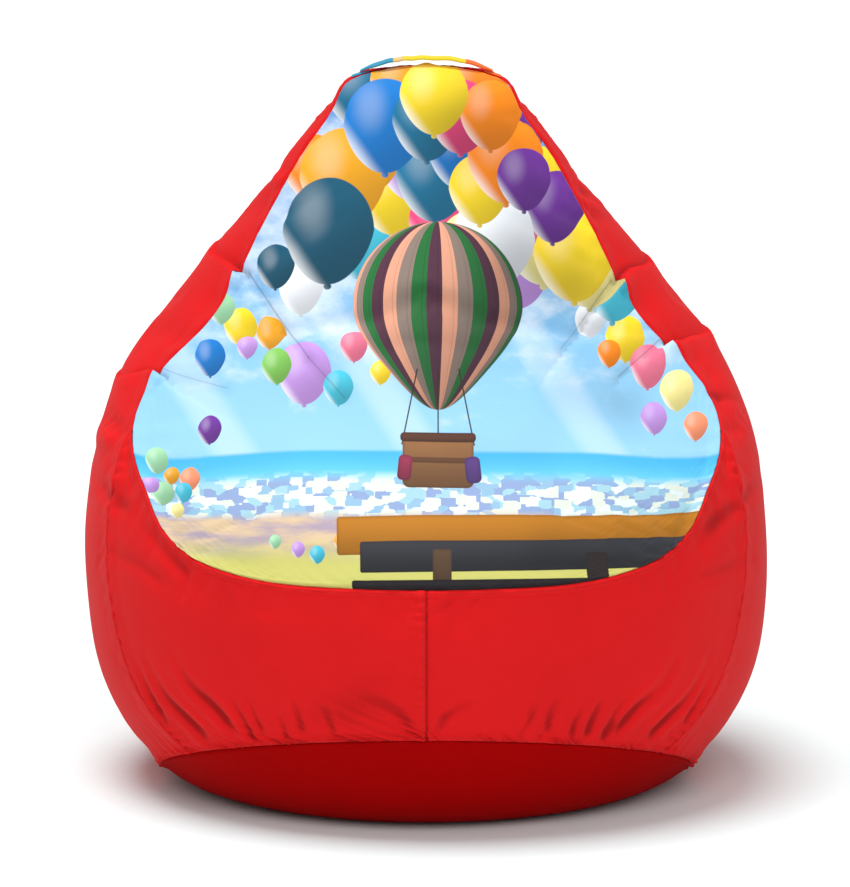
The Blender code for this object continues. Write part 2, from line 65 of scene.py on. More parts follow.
BAG_SIZE = np.array([0.8992, 0.8999, 0.932])   # the size that the rings below give
FIT = (CAD_HIGH - CAD_LOW) / BAG_SIZE
BASE_RADIUS = 0.310
FOOT_DRAW = 0.017          # the sides of the foot are drawn in by this much where it stands
BULGE = 0.140
BACK_BASE_RADIUS = 0.285
BACK_BULGE = 0.165
FRONT_BULGE_HEIGHT = 0.27
BACK_BULGE_HEIGHT = 0.31
BACK_RADIUS = 0.75
BACK_CENTRE = (-0.3004, 0.36)                  # y and z of the arc that the back and the zips follow
TOP_POINT = (0.175, 0.912)
CROWN_RISE = 0.0075        # the cover's top is pulled up by this much under the handle
CROWN_HALF = 0.090         # and by nothing this far from the middle, or round at the back
CROWN_STEPS = (13.6, 15.8) # rings over which the pull sets in
UPPER_RINGS = (                                # half width, front y, front z, back z
    (0.4467, -0.437, 0.338, 0.390),
    (0.4345, -0.398, 0.395, 0.490),
    (0.4090, -0.330, 0.432, 0.590),
    (0.3620, -0.250, 0.467, 0.670),
    (0.3080, -0.170, 0.522, 0.735),
    (0.2500, -0.098, 0.600, 0.790),
    (0.2030, -0.035, 0.690, 0.838),
    (0.1620, 0.022, 0.775, 0.873),
    (0.1240, 0.072, 0.848, 0.895),
    (0.0960, 0.115, 0.899, 0.908),
)
SIDE_SEAM = 69.0
BACK_SEAM = 125.0
PRINT_EDGE = (                                 # angle and ring, from the middle of the seat's front
    (0, 5.93), (13, 5.92), (26, 5.90), (36, 5.98), (42, 6.09), (46, 6.25), (51.5, 6.53), (56.5, 6.97),
    (62, 7.36), (69, 7.92), (74, 8.6), (74.5, 9.3), (72, 10), (73.3, 10.7), (78, 11.4),
    (79.5, 12.1), (80.5, 13), (81.7, 14), (82.8, 15), (84, 16),
)
EDGE_CORNER = 9                                # where the side seam meets the print's edge
EDGE_TURN = 5                                  # where the print's foot turns up into its sides
EDGE_LAST = len(PRINT_EDGE) - 1


def ease(x):
    """0 to 1 with a soft start and end."""
    x = np.clip(x, 0, 1)
    return x * x * (3 - 2 * x)


def spline_matrix(knots, at):
    """Matrix that takes values at whole numbers 0..knots-1 to the smooth curve through them.

    Natural cubic: the second differences solve a 1-4-1 system, and each span mixes its two ends
    and their second differences.
    """
    at = np.clip(np.asarray(at, float), 0, knots - 1)
    system = np.eye(knots)
    right = np.zeros((knots, knots))
    inside = np.arange(1, knots - 1)
    for shift, left_weight, right_weight in ((-1, 1, 6), (0, 4, -12), (1, 1, 6)):
        system[inside, inside + shift] = left_weight
        right[inside, inside + shift] = right_weight
    bends = np.linalg.solve(system, right)
    index = np.minimum(at.astype(int), knots - 2)
    high = (at - index)[:, None]
    low = 1 - high
    unit = np.eye(knots)
    mixed = low * unit[index] + high * unit[index + 1]
    return mixed + ((low**3 - low) * bends[index] + (high**3 - high) * bends[index + 1]) / 6


def smooth_path(points, at):
    """Points of the smooth curve through a list of points, at positions counted in points."""
    points = np.asarray(points, float)
    return spline_matrix(len(points), at) @ points


def back_y(z):
    """The back's arc: how far back it is at each height."""
    return BACK_CENTRE[0] + math.sqrt(BACK_RADIUS**2 - (z - BACK_CENTRE[1]) ** 2)


def bag_rings():
    """Rows of half width, front y, front z, back y, back z: a rounded foot, then the upper rings."""
    rows = []
    for step in range(5):
        turn = math.radians(22.5 * step)
        reach = BASE_RADIUS + BULGE * math.sin(turn)
        front = FRONT_BULGE_HEIGHT * (1 - math.cos(turn))
        back = BACK_BULGE_HEIGHT * (1 - math.cos(turn))
        rear = BACK_BASE_RADIUS + BACK_BULGE * math.sin(turn)
        drawn = FOOT_DRAW * math.cos(math.pi / 2 * min(step / 3, 1)) ** 2
        rows.append((reach - drawn, -reach, front, rear, back))
    for step, height in ((3, 0.18), (4, 0.29)):
        rows[step] = (*rows[step][:3], back_y(height), height)
    rows += [(w, fy, fz, back_y(bz), bz) for w, fy, fz, bz in UPPER_RINGS]
    y, z = TOP_POINT
    return np.array(rows + [(0, y, z, y, z)])


RINGS = bag_rings()
TOP = len(RINGS)
RING_STEPS = np.linspace(0, TOP - 1, 3001)
RING_TABLE = spline_matrix(TOP, RING_STEPS) @ RINGS


def outer_point(phi, v):
    """An ellipse through each ring's front and back points; below ring 1 it shrinks to the middle."""
    v = np.asarray(v, float)
    rings = [np.interp(v - 1, RING_STEPS, column) for column in RING_TABLE.T]
    flat = np.clip(v, 0, 1)
    half, front_y, front_z, rear_y, rear_z = (
        np.where(v < 1, first * flat, ring) for first, ring in zip(RINGS[0], rings)
    )
    forward = np.cos(phi)
    y = (front_y + rear_y) / 2 + (front_y - rear_y) / 2 * forward
    z = (front_z + rear_z) / 2 + (front_z - rear_z) / 2 * forward
    x = half * np.sin(phi)
    near_top = ease((v - CROWN_STEPS[0]) / (CROWN_STEPS[1] - CROWN_STEPS[0]))
    crown = CROWN_RISE * near_top * np.maximum(1 - (x / CROWN_HALF) ** 2, 0) * (0.5 + 0.5 * forward)
    return np.stack([x, y, np.maximum(z + crown, 0)], -1) * FIT


def half_width(v):
    """Half the bag's width at each ring, never quite nothing."""
    return np.maximum(np.interp(v - 1, RING_STEPS, RING_TABLE[:, 0]), 0.02)


def unit(vectors):
    """The same directions at length 1."""
    return vectors / np.maximum(np.linalg.norm(vectors, axis=-1, keepdims=True), 1e-12)


def bag_surface(phi, v):
    """Points of the surface and its outward normals, from small steps around and upward."""
    phi, v = np.broadcast_arrays(np.asarray(phi, float), np.asarray(v, float))
    step = 0.02
    middle = np.clip(v, step, TOP - step)
    around = outer_point(phi + step, middle) - outer_point(phi - step, middle)
    upward = outer_point(phi, middle + step) - outer_point(phi, middle - step)
    return outer_point(phi, v), unit(np.cross(around, upward))


BASE_SEAM_FRONT = 0.1114   # the base seam's height at the front, at y = BASE_SEAM_Y
BASE_SEAM_Y = -0.36
BASE_SEAM_SLOPE = 0.327
BASE_SEAM_LOWEST = 0.014


def base_seam_ring(phi):
    """Ring where the sloping base seam crosses each angle, by halving."""
    phi = np.asarray(phi, float)
    low, high = np.full(phi.shape, 1.0), np.full(phi.shape, 5.0)
    for _ in range(40):
        middle = (low + high) / 2
        point = outer_point(phi, middle) / FIT
        seam = BASE_SEAM_FRONT - BASE_SEAM_SLOPE * (point[..., 1] - BASE_SEAM_Y)
        below = point[..., 2] < np.maximum(seam, BASE_SEAM_LOWEST)
        low, high = np.where(below, middle, low), np.where(below, high, middle)
    return low


# Meshes ------------------------------------------------------------------------------------------


def grid_faces(rows, columns, wrap=False):
    """Quads of a grid whose normals point along column step x row step; wrap closes each row."""
    number = np.arange(rows * columns).reshape(rows, columns)
    right = np.roll(number, -1, 1) if wrap else number[:, 1:]
    left = number if wrap else number[:, :-1]
    return np.stack((left[:-1], right[:-1], right[1:], left[1:]), -1).reshape(-1, 4)


def mesh_object(name, points, faces, uvs=None):
    """An object at the origin with its place in its mesh; uvs maps a layer's name to point values."""
    mesh = bpy.data.meshes.new(name)
    points = np.asarray(points, float).reshape(-1, 3)
    mesh.from_pydata(points.tolist(), [], faces.tolist() if hasattr(faces, "tolist") else faces)
    corners = np.empty(len(mesh.loops), int)
    mesh.loops.foreach_get("vertex_index", corners)
    for layer, values in (uvs or {}).items():
        data = mesh.uv_layers.new(name=layer)
        data.data.foreach_set("uv", np.asarray(values, np.float32).reshape(-1, 2)[corners].ravel())
    mesh.shade_smooth()
    made = bpy.data.objects.new(name, mesh)
    bpy.context.scene.collection.objects.link(made)
    return made


COVER_CLOTH = 0.0009       # thickness of the cover's cloth
INNER_CLOTH = 0.0005
FLOOR_GAP = 0.0002         # the base lies this far above the floor


def wall(piece, thickness):
    """Solidify, inwards from the modelled face."""
    made = piece.modifiers.new("cloth", "SOLIDIFY")
    made.thickness = thickness
    made.offset = -1
    return piece


def sewn(piece, body, node, finish):
    """Gives a piece its material and body, and hides the CAD node that it stands for."""
    piece.data.materials.append(finish)
    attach(piece, body)
    if node:
        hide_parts(node)
    return piece


def pole_faces(ring, pole, columns, upward=False):
    """Triangles from one closed ring of points to its pole; upward for the pole above the ring."""
    turned = [(ring + i, ring + (i + 1) % columns) for i in range(columns)]
    return [(a, b, pole) if upward else (a, pole, b) for a, b in turned]


def laid_out(points):
    """A grid's place on the flat cloth: distances along its rows and up its columns."""
    return np.stack([arc_lengths(points, 1), arc_lengths(points, 0)], -1)


def arc_lengths(points, axis):
    """Distance along each grid line from its start, in metres."""
    steps = np.linalg.norm(np.diff(points, axis=axis), axis=-1)
    zero = np.zeros_like(np.take(steps, [0], axis=axis))
    return np.concatenate([zero, np.cumsum(steps, axis=axis)], axis=axis)


def graded(count, strength=0.72):
    """0 to 1 with close spacing at both ends, where the seams need it."""
    even = np.linspace(0, 1, count)
    return even - strength * np.sin(2 * np.pi * even) / (2 * np.pi)


# Panels: angle and ring over a square of column share and row share --------------------------------

EDGE_STEPS = np.linspace(0, EDGE_LAST, 1901)
EDGE_TABLE = smooth_path(PRINT_EDGE, EDGE_STEPS)
EDGE_TABLE[:, 1] = np.minimum(EDGE_TABLE[:, 1], TOP)


def edge_at(position):
    """Angle in radians and ring of the print's edge at a position counted in its points."""
    return np.radians(np.interp(position, EDGE_STEPS, EDGE_TABLE[:, 0])), np.interp(
        position, EDGE_STEPS, EDGE_TABLE[:, 1]
    )


FOOT_HALF = math.radians(46)
LOWER_SHARE = 0.55      # rows of a side panel below the print's corner, as a share of all rows
PANEL_LAST = TOP - 0.02


def front_print_patch(s, t):
    """Rows start as the arc of the seat's front edge and flatten into rings as they climb."""
    side_phi, side_v = edge_at(EDGE_TURN + t * (EDGE_LAST - EDGE_TURN))
    side_v = np.minimum(side_v, PANEL_LAST)
    across = 2 * s - 1
    foot_phi = np.abs(across) * FOOT_HALF
    at = np.interp(foot_phi, np.radians(EDGE_TABLE[:900, 0]), EDGE_STEPS[:900])
    foot_drop = edge_at(at)[1] - edge_at(EDGE_TURN)[1]
    fade = np.clip(1 - (side_v - edge_at(EDGE_TURN)[1]) / 3.0, 0, 1) ** 2
    return side_phi[:, None] * across, side_v[:, None] + np.outer(fade, foot_drop)


def seam_lean(t):
    """The side seam leans forward towards its foot: the share of its upper angle at each row."""
    return 1 - 0.30 * (1 - t) ** 3.8


def lower_front_patch(s, t):
    """Columns rise from the base seam to the print's edge, centre seam to side seam."""
    phi, head = edge_at(s * EDGE_CORNER)
    foot = base_seam_ring(phi * seam_lean(0))
    return np.outer(seam_lean(t), phi), foot + np.outer(t, head - foot)


def riser_rows(foot_phi, t):
    """Ring of each row of a side or back panel: base seam to corner height, then to the top."""
    foot = base_seam_ring(foot_phi)
    corner = edge_at(EDGE_CORNER)[1]
    lower = foot + np.outer(np.clip(t / LOWER_SHARE, 0, 1), corner - foot)
    climb = EDGE_CORNER + np.clip((t - LOWER_SHARE) / (1 - LOWER_SHARE), 0, 1) * (EDGE_LAST - EDGE_CORNER)
    upper = np.minimum(edge_at(climb)[1], PANEL_LAST)[:, None]
    return np.where(t[:, None] <= LOWER_SHARE, lower, upper), climb


def side_patch(s, t):
    """From the side seam and the print's edge round to the back seam."""
    back_seam = math.radians(BACK_SEAM)
    front_foot = math.radians(SIDE_SEAM) * seam_lean(0)
    v, climb = riser_rows(front_foot + (back_seam - front_foot) * s, t)
    front = (edge_at(climb)[0] * seam_lean(np.clip(t / LOWER_SHARE, 0, 1)))[:, None]
    return front + (back_seam - front) * s, v


ZIP_SLOT = 0.0062       # half the gap in which the zip lies
SLOT_RINGS = (3.86, 4.02, 7.86, 8.02)           # where it opens, is fully open, narrows and closes


def back_patch(s, t):
    """From the back seam to the middle of the back, leaving the slot in which the zip lies."""
    start, end = math.radians(BACK_SEAM), math.pi
    v, _ = riser_rows(start + (end - start) * s, t)
    slot = np.interp(v[:, -1], SLOT_RINGS, (0, ZIP_SLOT, ZIP_SLOT, 0))
    last = end - slot / half_width(v[:, -1])
    return start + (last - start)[:, None] * s, v


# How the cloth lies: seams, puckers and folds ------------------------------------------------------


def wave(x, wavelength, seed):
    """An uneven ripple: a sine whose phase and height wander."""
    drift = 1.4 * np.sin(2 * np.pi * x / (wavelength * 6.7) + seed)
    drift += 0.9 * np.sin(2 * np.pi * x / (wavelength * 3.1) + 2.3 * seed)
    swell = 0.62 + 0.38 * np.sin(2 * np.pi * x / (wavelength * 9.3) + 1.7 * seed)
    return swell * np.sin(2 * np.pi * x / wavelength + drift + seed)


class Seam:
    """How the cloth lies beside one seam; lengths in metres, d is the distance from the seam.

    groove: depth at the stitched line. band: width of the lapped strip, 0 for none.
    pucker: height of the small ripples on the strip, slanting by slant. pull: height of the
    longer ripples, so far apart, that fade out over reach.
    """

    def __init__(self, groove=0.0020, band=0.0, pucker=0.0, slant=0.0, pull=0.0, reach=0.03,
                 apart=0.024, seed=0.0):
        self.groove, self.band, self.pucker, self.slant = groove, band, pucker, slant
        self.pull, self.reach, self.apart, self.seed = pull, reach, apart, seed

    def height(self, along, d):
        """Height of the cloth at distances along and away from the seam."""
        shape = -self.groove * np.exp(-((d / 0.0021) ** 2))
        shape = shape + 0.0008 * np.exp(-(((d - 0.0062) / 0.0032) ** 2))
        if self.band:
            shape = shape + 0.0009 * (1 - ease((d - self.band) / 0.0022))
            shape = shape - 0.0009 * np.exp(-(((d - self.band * 0.78) / 0.0013) ** 2))
        if self.pucker:
            on = ease(d / 0.0025) * np.exp(-((d / (self.band * 1.15 + 0.004)) ** 4))
            shape = shape + self.pucker * on * wave(along + self.slant * d, 0.0105, self.seed)
        if self.pull:
            on = ease(d / 0.006) * np.exp(-d / self.reach)
            long_wave = wave(along + 0.35 * self.slant * d, self.apart, self.seed + 1.0)
            mid_wave = wave(along - 0.2 * self.slant * d, 0.55 * self.apart, self.seed + 2.0)
            shape = shape + self.pull * on * (long_wave + 0.5 * mid_wave * np.exp(-d / (0.4 * self.reach)))
        return shape


# Each fold: kind, half width, height, side (0 for both sides) and its path of (angle, ring) points on
# the +X side. A "tuck" is raised below its line and drops sharply above it, a "hollow" is a soft valley,
# a "ridge" a soft swelling. Each is strongest near its first point and fades towards its last.
FOLDS = (
    ("tuck", 0.016, 0.0095, -1, ((68, 10.92), (84.5, 10.73), (102, 10.3), (122, 9.9))),
    ("tuck", 0.012, 0.0034, -1, ((67, 10.9), (55.5, 10.82), (42.5, 10.6), (30, 10.26), (18.5, 9.78))),
    ("tuck", 0.014, 0.0080, -1, ((70.5, 8.97), (77, 8.84), (84, 8.52), (95, 8.0), (115, 7.6))),
    ("tuck", 0.011, 0.0026, -1, ((70.2, 8.95), (57.8, 9.08), (43.5, 9.06))),
    ("tuck", 0.015, 0.0090, 1, ((69.5, 10.76), (79.2, 10.69), (89.8, 10.48), (107, 9.95), (125, 9.6))),
    ("tuck", 0.012, 0.0034, 1, ((67.5, 10.76), (55.5, 10.7), (45.5, 10.52), (36, 10.31), (28, 10.0))),
    ("tuck", 0.014, 0.0090, 1, ((71.2, 9.63), (79, 9.42), (90, 9.1), (103, 8.6), (120, 8.2))),
    ("tuck", 0.011, 0.0030, 1, ((70.2, 9.65), (58.8, 9.75), (48, 9.63))),
    ("ridge", 0.010, 0.0040, 1, ((84, 11.8), (92.5, 11.6), (103, 11.2), (116, 10.9))),
    ("ridge", 0.010, 0.0035, -1, ((80, 12.3), (92, 12.1), (106, 11.9))),
    ("ridge", 0.014, 0.0040, -1, ((74, 7.5), (86, 7.2), (98, 6.9))),
    ("hollow", 0.012, 0.0022, -1, ((58.8, 6.6), (71.5, 6.6), (86.5, 6.7), (98, 6.9))),
    ("hollow", 0.010, 0.0018, -1, ((41.8, 5.69), (49.8, 6.13), (58.8, 6.55))),
    ("hollow", 0.011, 0.0018, -1, ((46.5, 5.34), (55, 5.65), (67.2, 5.69), (80.2, 5.69))),
    ("hollow", 0.012, 0.0020, 1, ((53.5, 6.23), (63.2, 6.49), (81.5, 6.5), (95, 6.4))),
    ("hollow", 0.011, 0.0017, 1, ((48.2, 5.55), (61, 5.51), (76, 5.47))),
    ("hollow", 0.012, 0.0030, 1, ((72, 8.5), (80, 8.2), (90, 7.7))),
    ("hollow", 0.007, 0.0030, 0, ((51, 3.4), (55, 3.89), (56.8, 4.24))),
    ("hollow", 0.009, 0.0048, 0, ((41.8, 3.3), (47.5, 3.69), (51.8, 3.95), (57, 4.5))),
    ("hollow", 0.009, 0.0046, 0, ((33.5, 3.45), (38.2, 3.89), (43.2, 4.15), (47, 4.6))),
    ("hollow", 0.007, 0.0040, 0, ((32, 3.42), (34.2, 3.86), (36.5, 4.15))),
    ("hollow", 0.006, 0.0034, 0, ((28.5, 3.5), (29.8, 3.89), (31.3, 4.15))),
    ("hollow", 0.005, 0.0024, 0, ((25.5, 3.55), (26.5, 3.88), (27.5, 4.05))),
    ("hollow", 0.006, 0.0024, 0, ((20.5, 3.6), (21.5, 3.98), (22.7, 4.2))),
    ("hollow", 0.005, 0.0018, 0, ((16.5, 3.65), (18, 4.01), (19, 4.15))),
    ("hollow", 0.008, 0.0018, 0, ((0.8, 3.7), (3.2, 4.01), (6.5, 4.15), (10.5, 4.25))),
    ("hollow", 0.006, 0.0012, 1, ((5, 5.8), (2, 5.51), (-1.8, 5.29))),
    ("hollow", 0.005, 0.0010, 1, ((9, 5.8), (7, 5.6), (5, 5.45))),
    ("hollow", 0.012, 0.0034, 0, ((82, 2.3), (84, 3.4), (90, 4.4))),
    ("hollow", 0.012, 0.0030, 0, ((96, 1.9), (97, 2.9), (99, 3.9))),
    ("hollow", 0.013, 0.0032, 0, ((110, 1.7), (109, 2.7), (106, 3.7))),
    ("hollow", 0.013, 0.0034, 0, ((140, 1.7), (138, 2.8), (133, 3.9))),
    ("hollow", 0.012, 0.0028, 0, ((157, 1.7), (156, 2.7), (158, 3.4))),
    ("ridge", 0.016, 0.0036, 0, ((128, 6.4), (140, 6.7), (152, 7.4))),
    ("hollow", 0.014, 0.0040, 0, ((127, 9.6), (143, 9.9), (160, 10.5))),
    ("hollow", 0.012, 0.0034, 0, ((175, 9.2), (165, 9.5), (152, 9.4))),
    ("hollow", 0.013, 0.0030, 0, ((127, 12.6), (148, 12.4), (166, 12.7))),
)
FOLD_SAMPLES = 40


def fold_shape(kind, q):
    """Height across a fold, q in half widths from its line, positive on the lower side."""
    if kind == "tuck":
        raised = ease((q + 0.10) / 0.20)
        below = raised * np.exp(-((np.maximum(q, 0) / 1.5) ** 2))
        return below - 0.42 * (1 - raised) * np.exp(-((q / 0.55) ** 2))
    beside = np.exp(-(((np.abs(q) - 1.75) / 0.8) ** 2))
    hollow = np.exp(-(q**2)) - 0.35 * beside
    return hollow if kind == "ridge" else -hollow


def fold_height(points, normals, fold, mirror, shift):
    """The fold's height at each point, from its nearest place on the fold's path."""
    kind, width, height, _, path = fold
    angles, rings = smooth_path(path, np.linspace(0, len(path) - 1, FOLD_SAMPLES)).T
    line = outer_point(np.radians(mirror * (angles + shift)), rings + 0.03 * shift)
    flat = points.reshape(-1, 3)
    margin = 4 * width
    near = np.all((flat > line.min(0) - margin) & (flat < line.max(0) + margin), axis=1)
    result = np.zeros(len(flat))
    if not near.any():
        return result.reshape(points.shape[:-1])
    local, outward = flat[near], normals.reshape(-1, 3)[near]
    gaps = np.linalg.norm(local[:, None] - line[None], axis=-1)
    nearest = gaps.argmin(1)
    across = np.cross(unit(np.gradient(line, axis=0))[nearest], outward)
    down = -np.sign(across[:, 2].mean())
    side = down * np.sum(across * (local - line[nearest]), -1)
    q = np.sign(side) * gaps[np.arange(len(local)), nearest] / width
    share = nearest / (FOLD_SAMPLES - 1)
    entry = ease(share / 0.08 + 0.3) if kind == "tuck" else ease(share / 0.22)
    strength = 1.15 * entry * (1 - share) ** 0.8
    result[near] = height * strength * fold_shape(kind, q)
    return result.reshape(points.shape[:-1])


def all_folds(points, normals):
    """Every fold, those of both sides a little different on the -X side."""
    total = np.zeros(points.shape[:-1])
    for number, fold in enumerate(FOLDS):
        side = fold[3]
        if side >= 0:
            total += fold_height(points, normals, fold, 1, 0.0)
        if side <= 0:
            shift = 1.2 * math.sin(3.1 * number) if side == 0 else 0.0
            total += fold_height(points, normals, fold, -1, shift)
    return total


def slow_relief(points):
    """The filling's soft unevenness: a few long waves in space."""
    x, y, z = np.moveaxis(points, -1, 0)
    relief = np.sin(9.1 * x + 4.3 * z + 0.6) * np.sin(8.3 * z - 5.1 * y + 1.9)
    relief += 0.6 * np.sin(17.3 * x - 9.7 * z + 2.2) * np.sin(14.9 * y + 11.3 * z + 0.4)
    relief += 0.3 * np.sin(33.0 * x + 21.0 * y + 5.0) * np.sin(37.0 * z - 18.0 * x)
    return 0.0016 * relief


# The cover's cloth simulation ----------------------------------------------------------------------

COVER_SLACK = 0.006       # the cloth is cut larger than the filling's surface by this share
SIM_FRAMES = 16
SIM_START = 0.004         # the cloth starts this far inside the surface
CROWN_FOOT = 0.84         # above this height the cloth is gathered taut under the handle
SIM_LIMIT = 0.009         # furthest that the simulation may move the cloth


def simulate_cover(blocks):
    """Blows the panels up a little from inside with their seams held; returns how each moved.

    blocks is a list of grids of points and of normals. Each starts a little inside its surface.
    """
    starts = [points - SIM_START * normals for points, normals in blocks]
    pins, faces, offset = [], [], 0
    for start in starts:
        rows, columns = start.shape[:2]
        number = np.arange(rows * columns).reshape(rows, columns)
        faces.append(grid_faces(rows, columns) + offset)
        rim = np.concatenate([number[0], number[-1], number[:, 0], number[:, -1]])
        pins.append(np.unique(rim) + offset)
        offset += rows * columns
    start_points = np.concatenate([start.reshape(-1, 3) for start in starts])
    cloth = mesh_object("cover_cloth", start_points, np.concatenate(faces))
    held = cloth.vertex_groups.new(name="seams")
    held.add([int(i) for i in np.concatenate(pins)], 1.0, "REPLACE")
    settings = cloth.modifiers.new("cloth", "CLOTH").settings
    settings.quality = 5
    settings.mass = 0.25
    settings.tension_stiffness = 25
    settings.compression_stiffness = 25
    settings.shear_stiffness = 8
    settings.bending_stiffness = 0.6
    settings.use_pressure = True
    settings.uniform_pressure_force = 3.0
    settings.shrink_min = -COVER_SLACK
    settings.vertex_group_mass = "seams"
    settings.effector_weights.gravity = 0
    scene = bpy.context.scene
    for number in range(1, SIM_FRAMES + 1):
        scene.frame_set(number)
    shaped = cloth.evaluated_get(bpy.context.evaluated_depsgraph_get())
    moved = np.empty(offset * 3)
    shaped.data.vertices.foreach_get("co", moved)
    scene.frame_set(1)
    bpy.data.objects.remove(cloth)
    moved = moved.reshape(-1, 3) - start_points
    reach = np.linalg.norm(moved, axis=1, keepdims=True)
    moved *= SIM_LIMIT * np.tanh(reach / SIM_LIMIT) / np.maximum(reach, 1e-9)
    result, offset = [], 0
    for start in starts:
        rows, columns = start.shape[:2]
        result.append(moved[offset : offset + rows * columns].reshape(rows, columns, 3))
        offset += rows * columns
    return result


VALLEY_DEPTH = 0.0042     # a fold or groove this deep gets the full painted shade
FOLD_GAIN = 1.25          # how much deeper the folds are than their list says
FOOT_FADE = 0.010         # folds run out over this distance where they meet the base seam


class Panel:
    """One cloth panel of the cover: its patch, grid sizes, finish and the seams on its four edges."""

    def __init__(self, name, patch, fine, coarse, slot, seams, mirror=1, grading=0.55):
        self.name, self.patch, self.slot, self.seams, self.mirror = name, patch, slot, seams, mirror
        self.s, self.t = graded(fine[0], grading), graded(fine[1], grading)
        self.coarse = coarse

    def place(self, s, t):
        """Points and normals of the patch, mirrored for the -X side."""
        phi, v = self.patch(s, t)
        points, normals = bag_surface(phi, v)
        if self.mirror < 0:
            points = (points * (-1, 1, 1))[:, ::-1]
            normals = (normals * (-1, 1, 1))[:, ::-1]
        return points, normals

    def coarse_block(self):
        """The even grid that the simulation moves."""
        columns, rows = self.coarse
        return self.place(np.linspace(0, 1, columns), np.linspace(0, 1, rows))

    def shape(self, moved):
        """The fine grid: patch, simulated movement, seams and folds."""
        points, normals = self.place(self.s, self.t)
        columns, rows = self.coarse
        across = spline_matrix(columns, (self.s if self.mirror > 0 else 1 - self.s[::-1]) * (columns - 1))
        upward = spline_matrix(rows, self.t * (rows - 1))
        from_start = arc_lengths(points, 1)
        from_foot = arc_lengths(points, 0)
        gaps = {
            "start": (from_foot, from_start),
            "end": (from_foot, from_start[:, -1:] - from_start),
            "foot": (from_start, from_foot),
            "head": (from_start, from_foot[-1:] - from_foot),
        }
        if self.mirror < 0:
            gaps["start"], gaps["end"] = gaps["end"], gaps["start"]
        height = FOLD_GAIN * all_folds(points, normals)
        if "foot" in self.seams and self.slot == "red_cloth":
            height = height * ease(from_foot / FOOT_FADE)
        edge = np.full(points.shape[:-1], 1.0)
        for side, seam in self.seams.items():
            along, d = gaps[side]
            height = height + seam.height(along, d)
            edge = np.minimum(edge, d)
        height = height + slow_relief(points) * ease(edge / 0.05)
        points_moved = np.zeros(points.shape)
        if moved is not None:
            taut = 1 - ease((points[..., 2:] - CROWN_FOOT) / 0.04)
            start = SIM_START * ease(edge / 0.04)[..., None] * normals
            points_moved = (np.einsum("ri,ijk,cj->rck", upward, moved, across) - start) * taut
        # the relief sets the painted shade in valleys and the painted highlight on crests
        self.relief = np.clip(height / VALLEY_DEPTH, -1, 1)
        self.points = points + points_moved + normals * height[..., None]
        self.points[..., 2] = np.maximum(self.points[..., 2], 2 * FLOOR_GAP)
        self.rest = points
        self.normals = normals
        self.gaps = gaps
        self.cloth_uv = np.stack([from_start - from_start[:, -1:] / 2, from_foot], -1)
        return self

    def build(self):
        """The panel as an object, with its cloth, picture and relief layers."""
        rows, columns = self.points.shape[:2]
        # relief layer: where the materials paint fold shade and crest highlight
        relief = np.stack([0.5 + 0.5 * self.relief, 0 * self.relief], -1)
        uvs = {"Cloth": self.cloth_uv, "Picture": picture_uv(self.rest), "Relief": relief}
        piece = mesh_object(self.name.replace("panel", "cloth"), self.points, grid_faces(rows, columns), uvs)
        return wall(piece, COVER_CLOTH)


CAMERA_TILT = math.radians(11)
PICTURE_FOOT = 0.055      # where the picture's own upward measure starts


def picture_uv(points):
    """The picture is laid on flat from the front, at right angles to a sitter's look down at it."""
    upward = points[..., 2] * math.cos(CAMERA_TILT) + points[..., 1] * math.sin(CAMERA_TILT) + PICTURE_FOOT
    return np.stack([points[..., 0], upward], -1)


# Materials ---------------------------------------------------------------------------------------


def srgb(*colour):
    """Linear colour from 0 to 255 screen values."""
    value = np.array(colour) / 255
    return tuple(np.where(value <= 0.04045, value / 12.92, ((value + 0.055) / 1.055) ** 2.4))


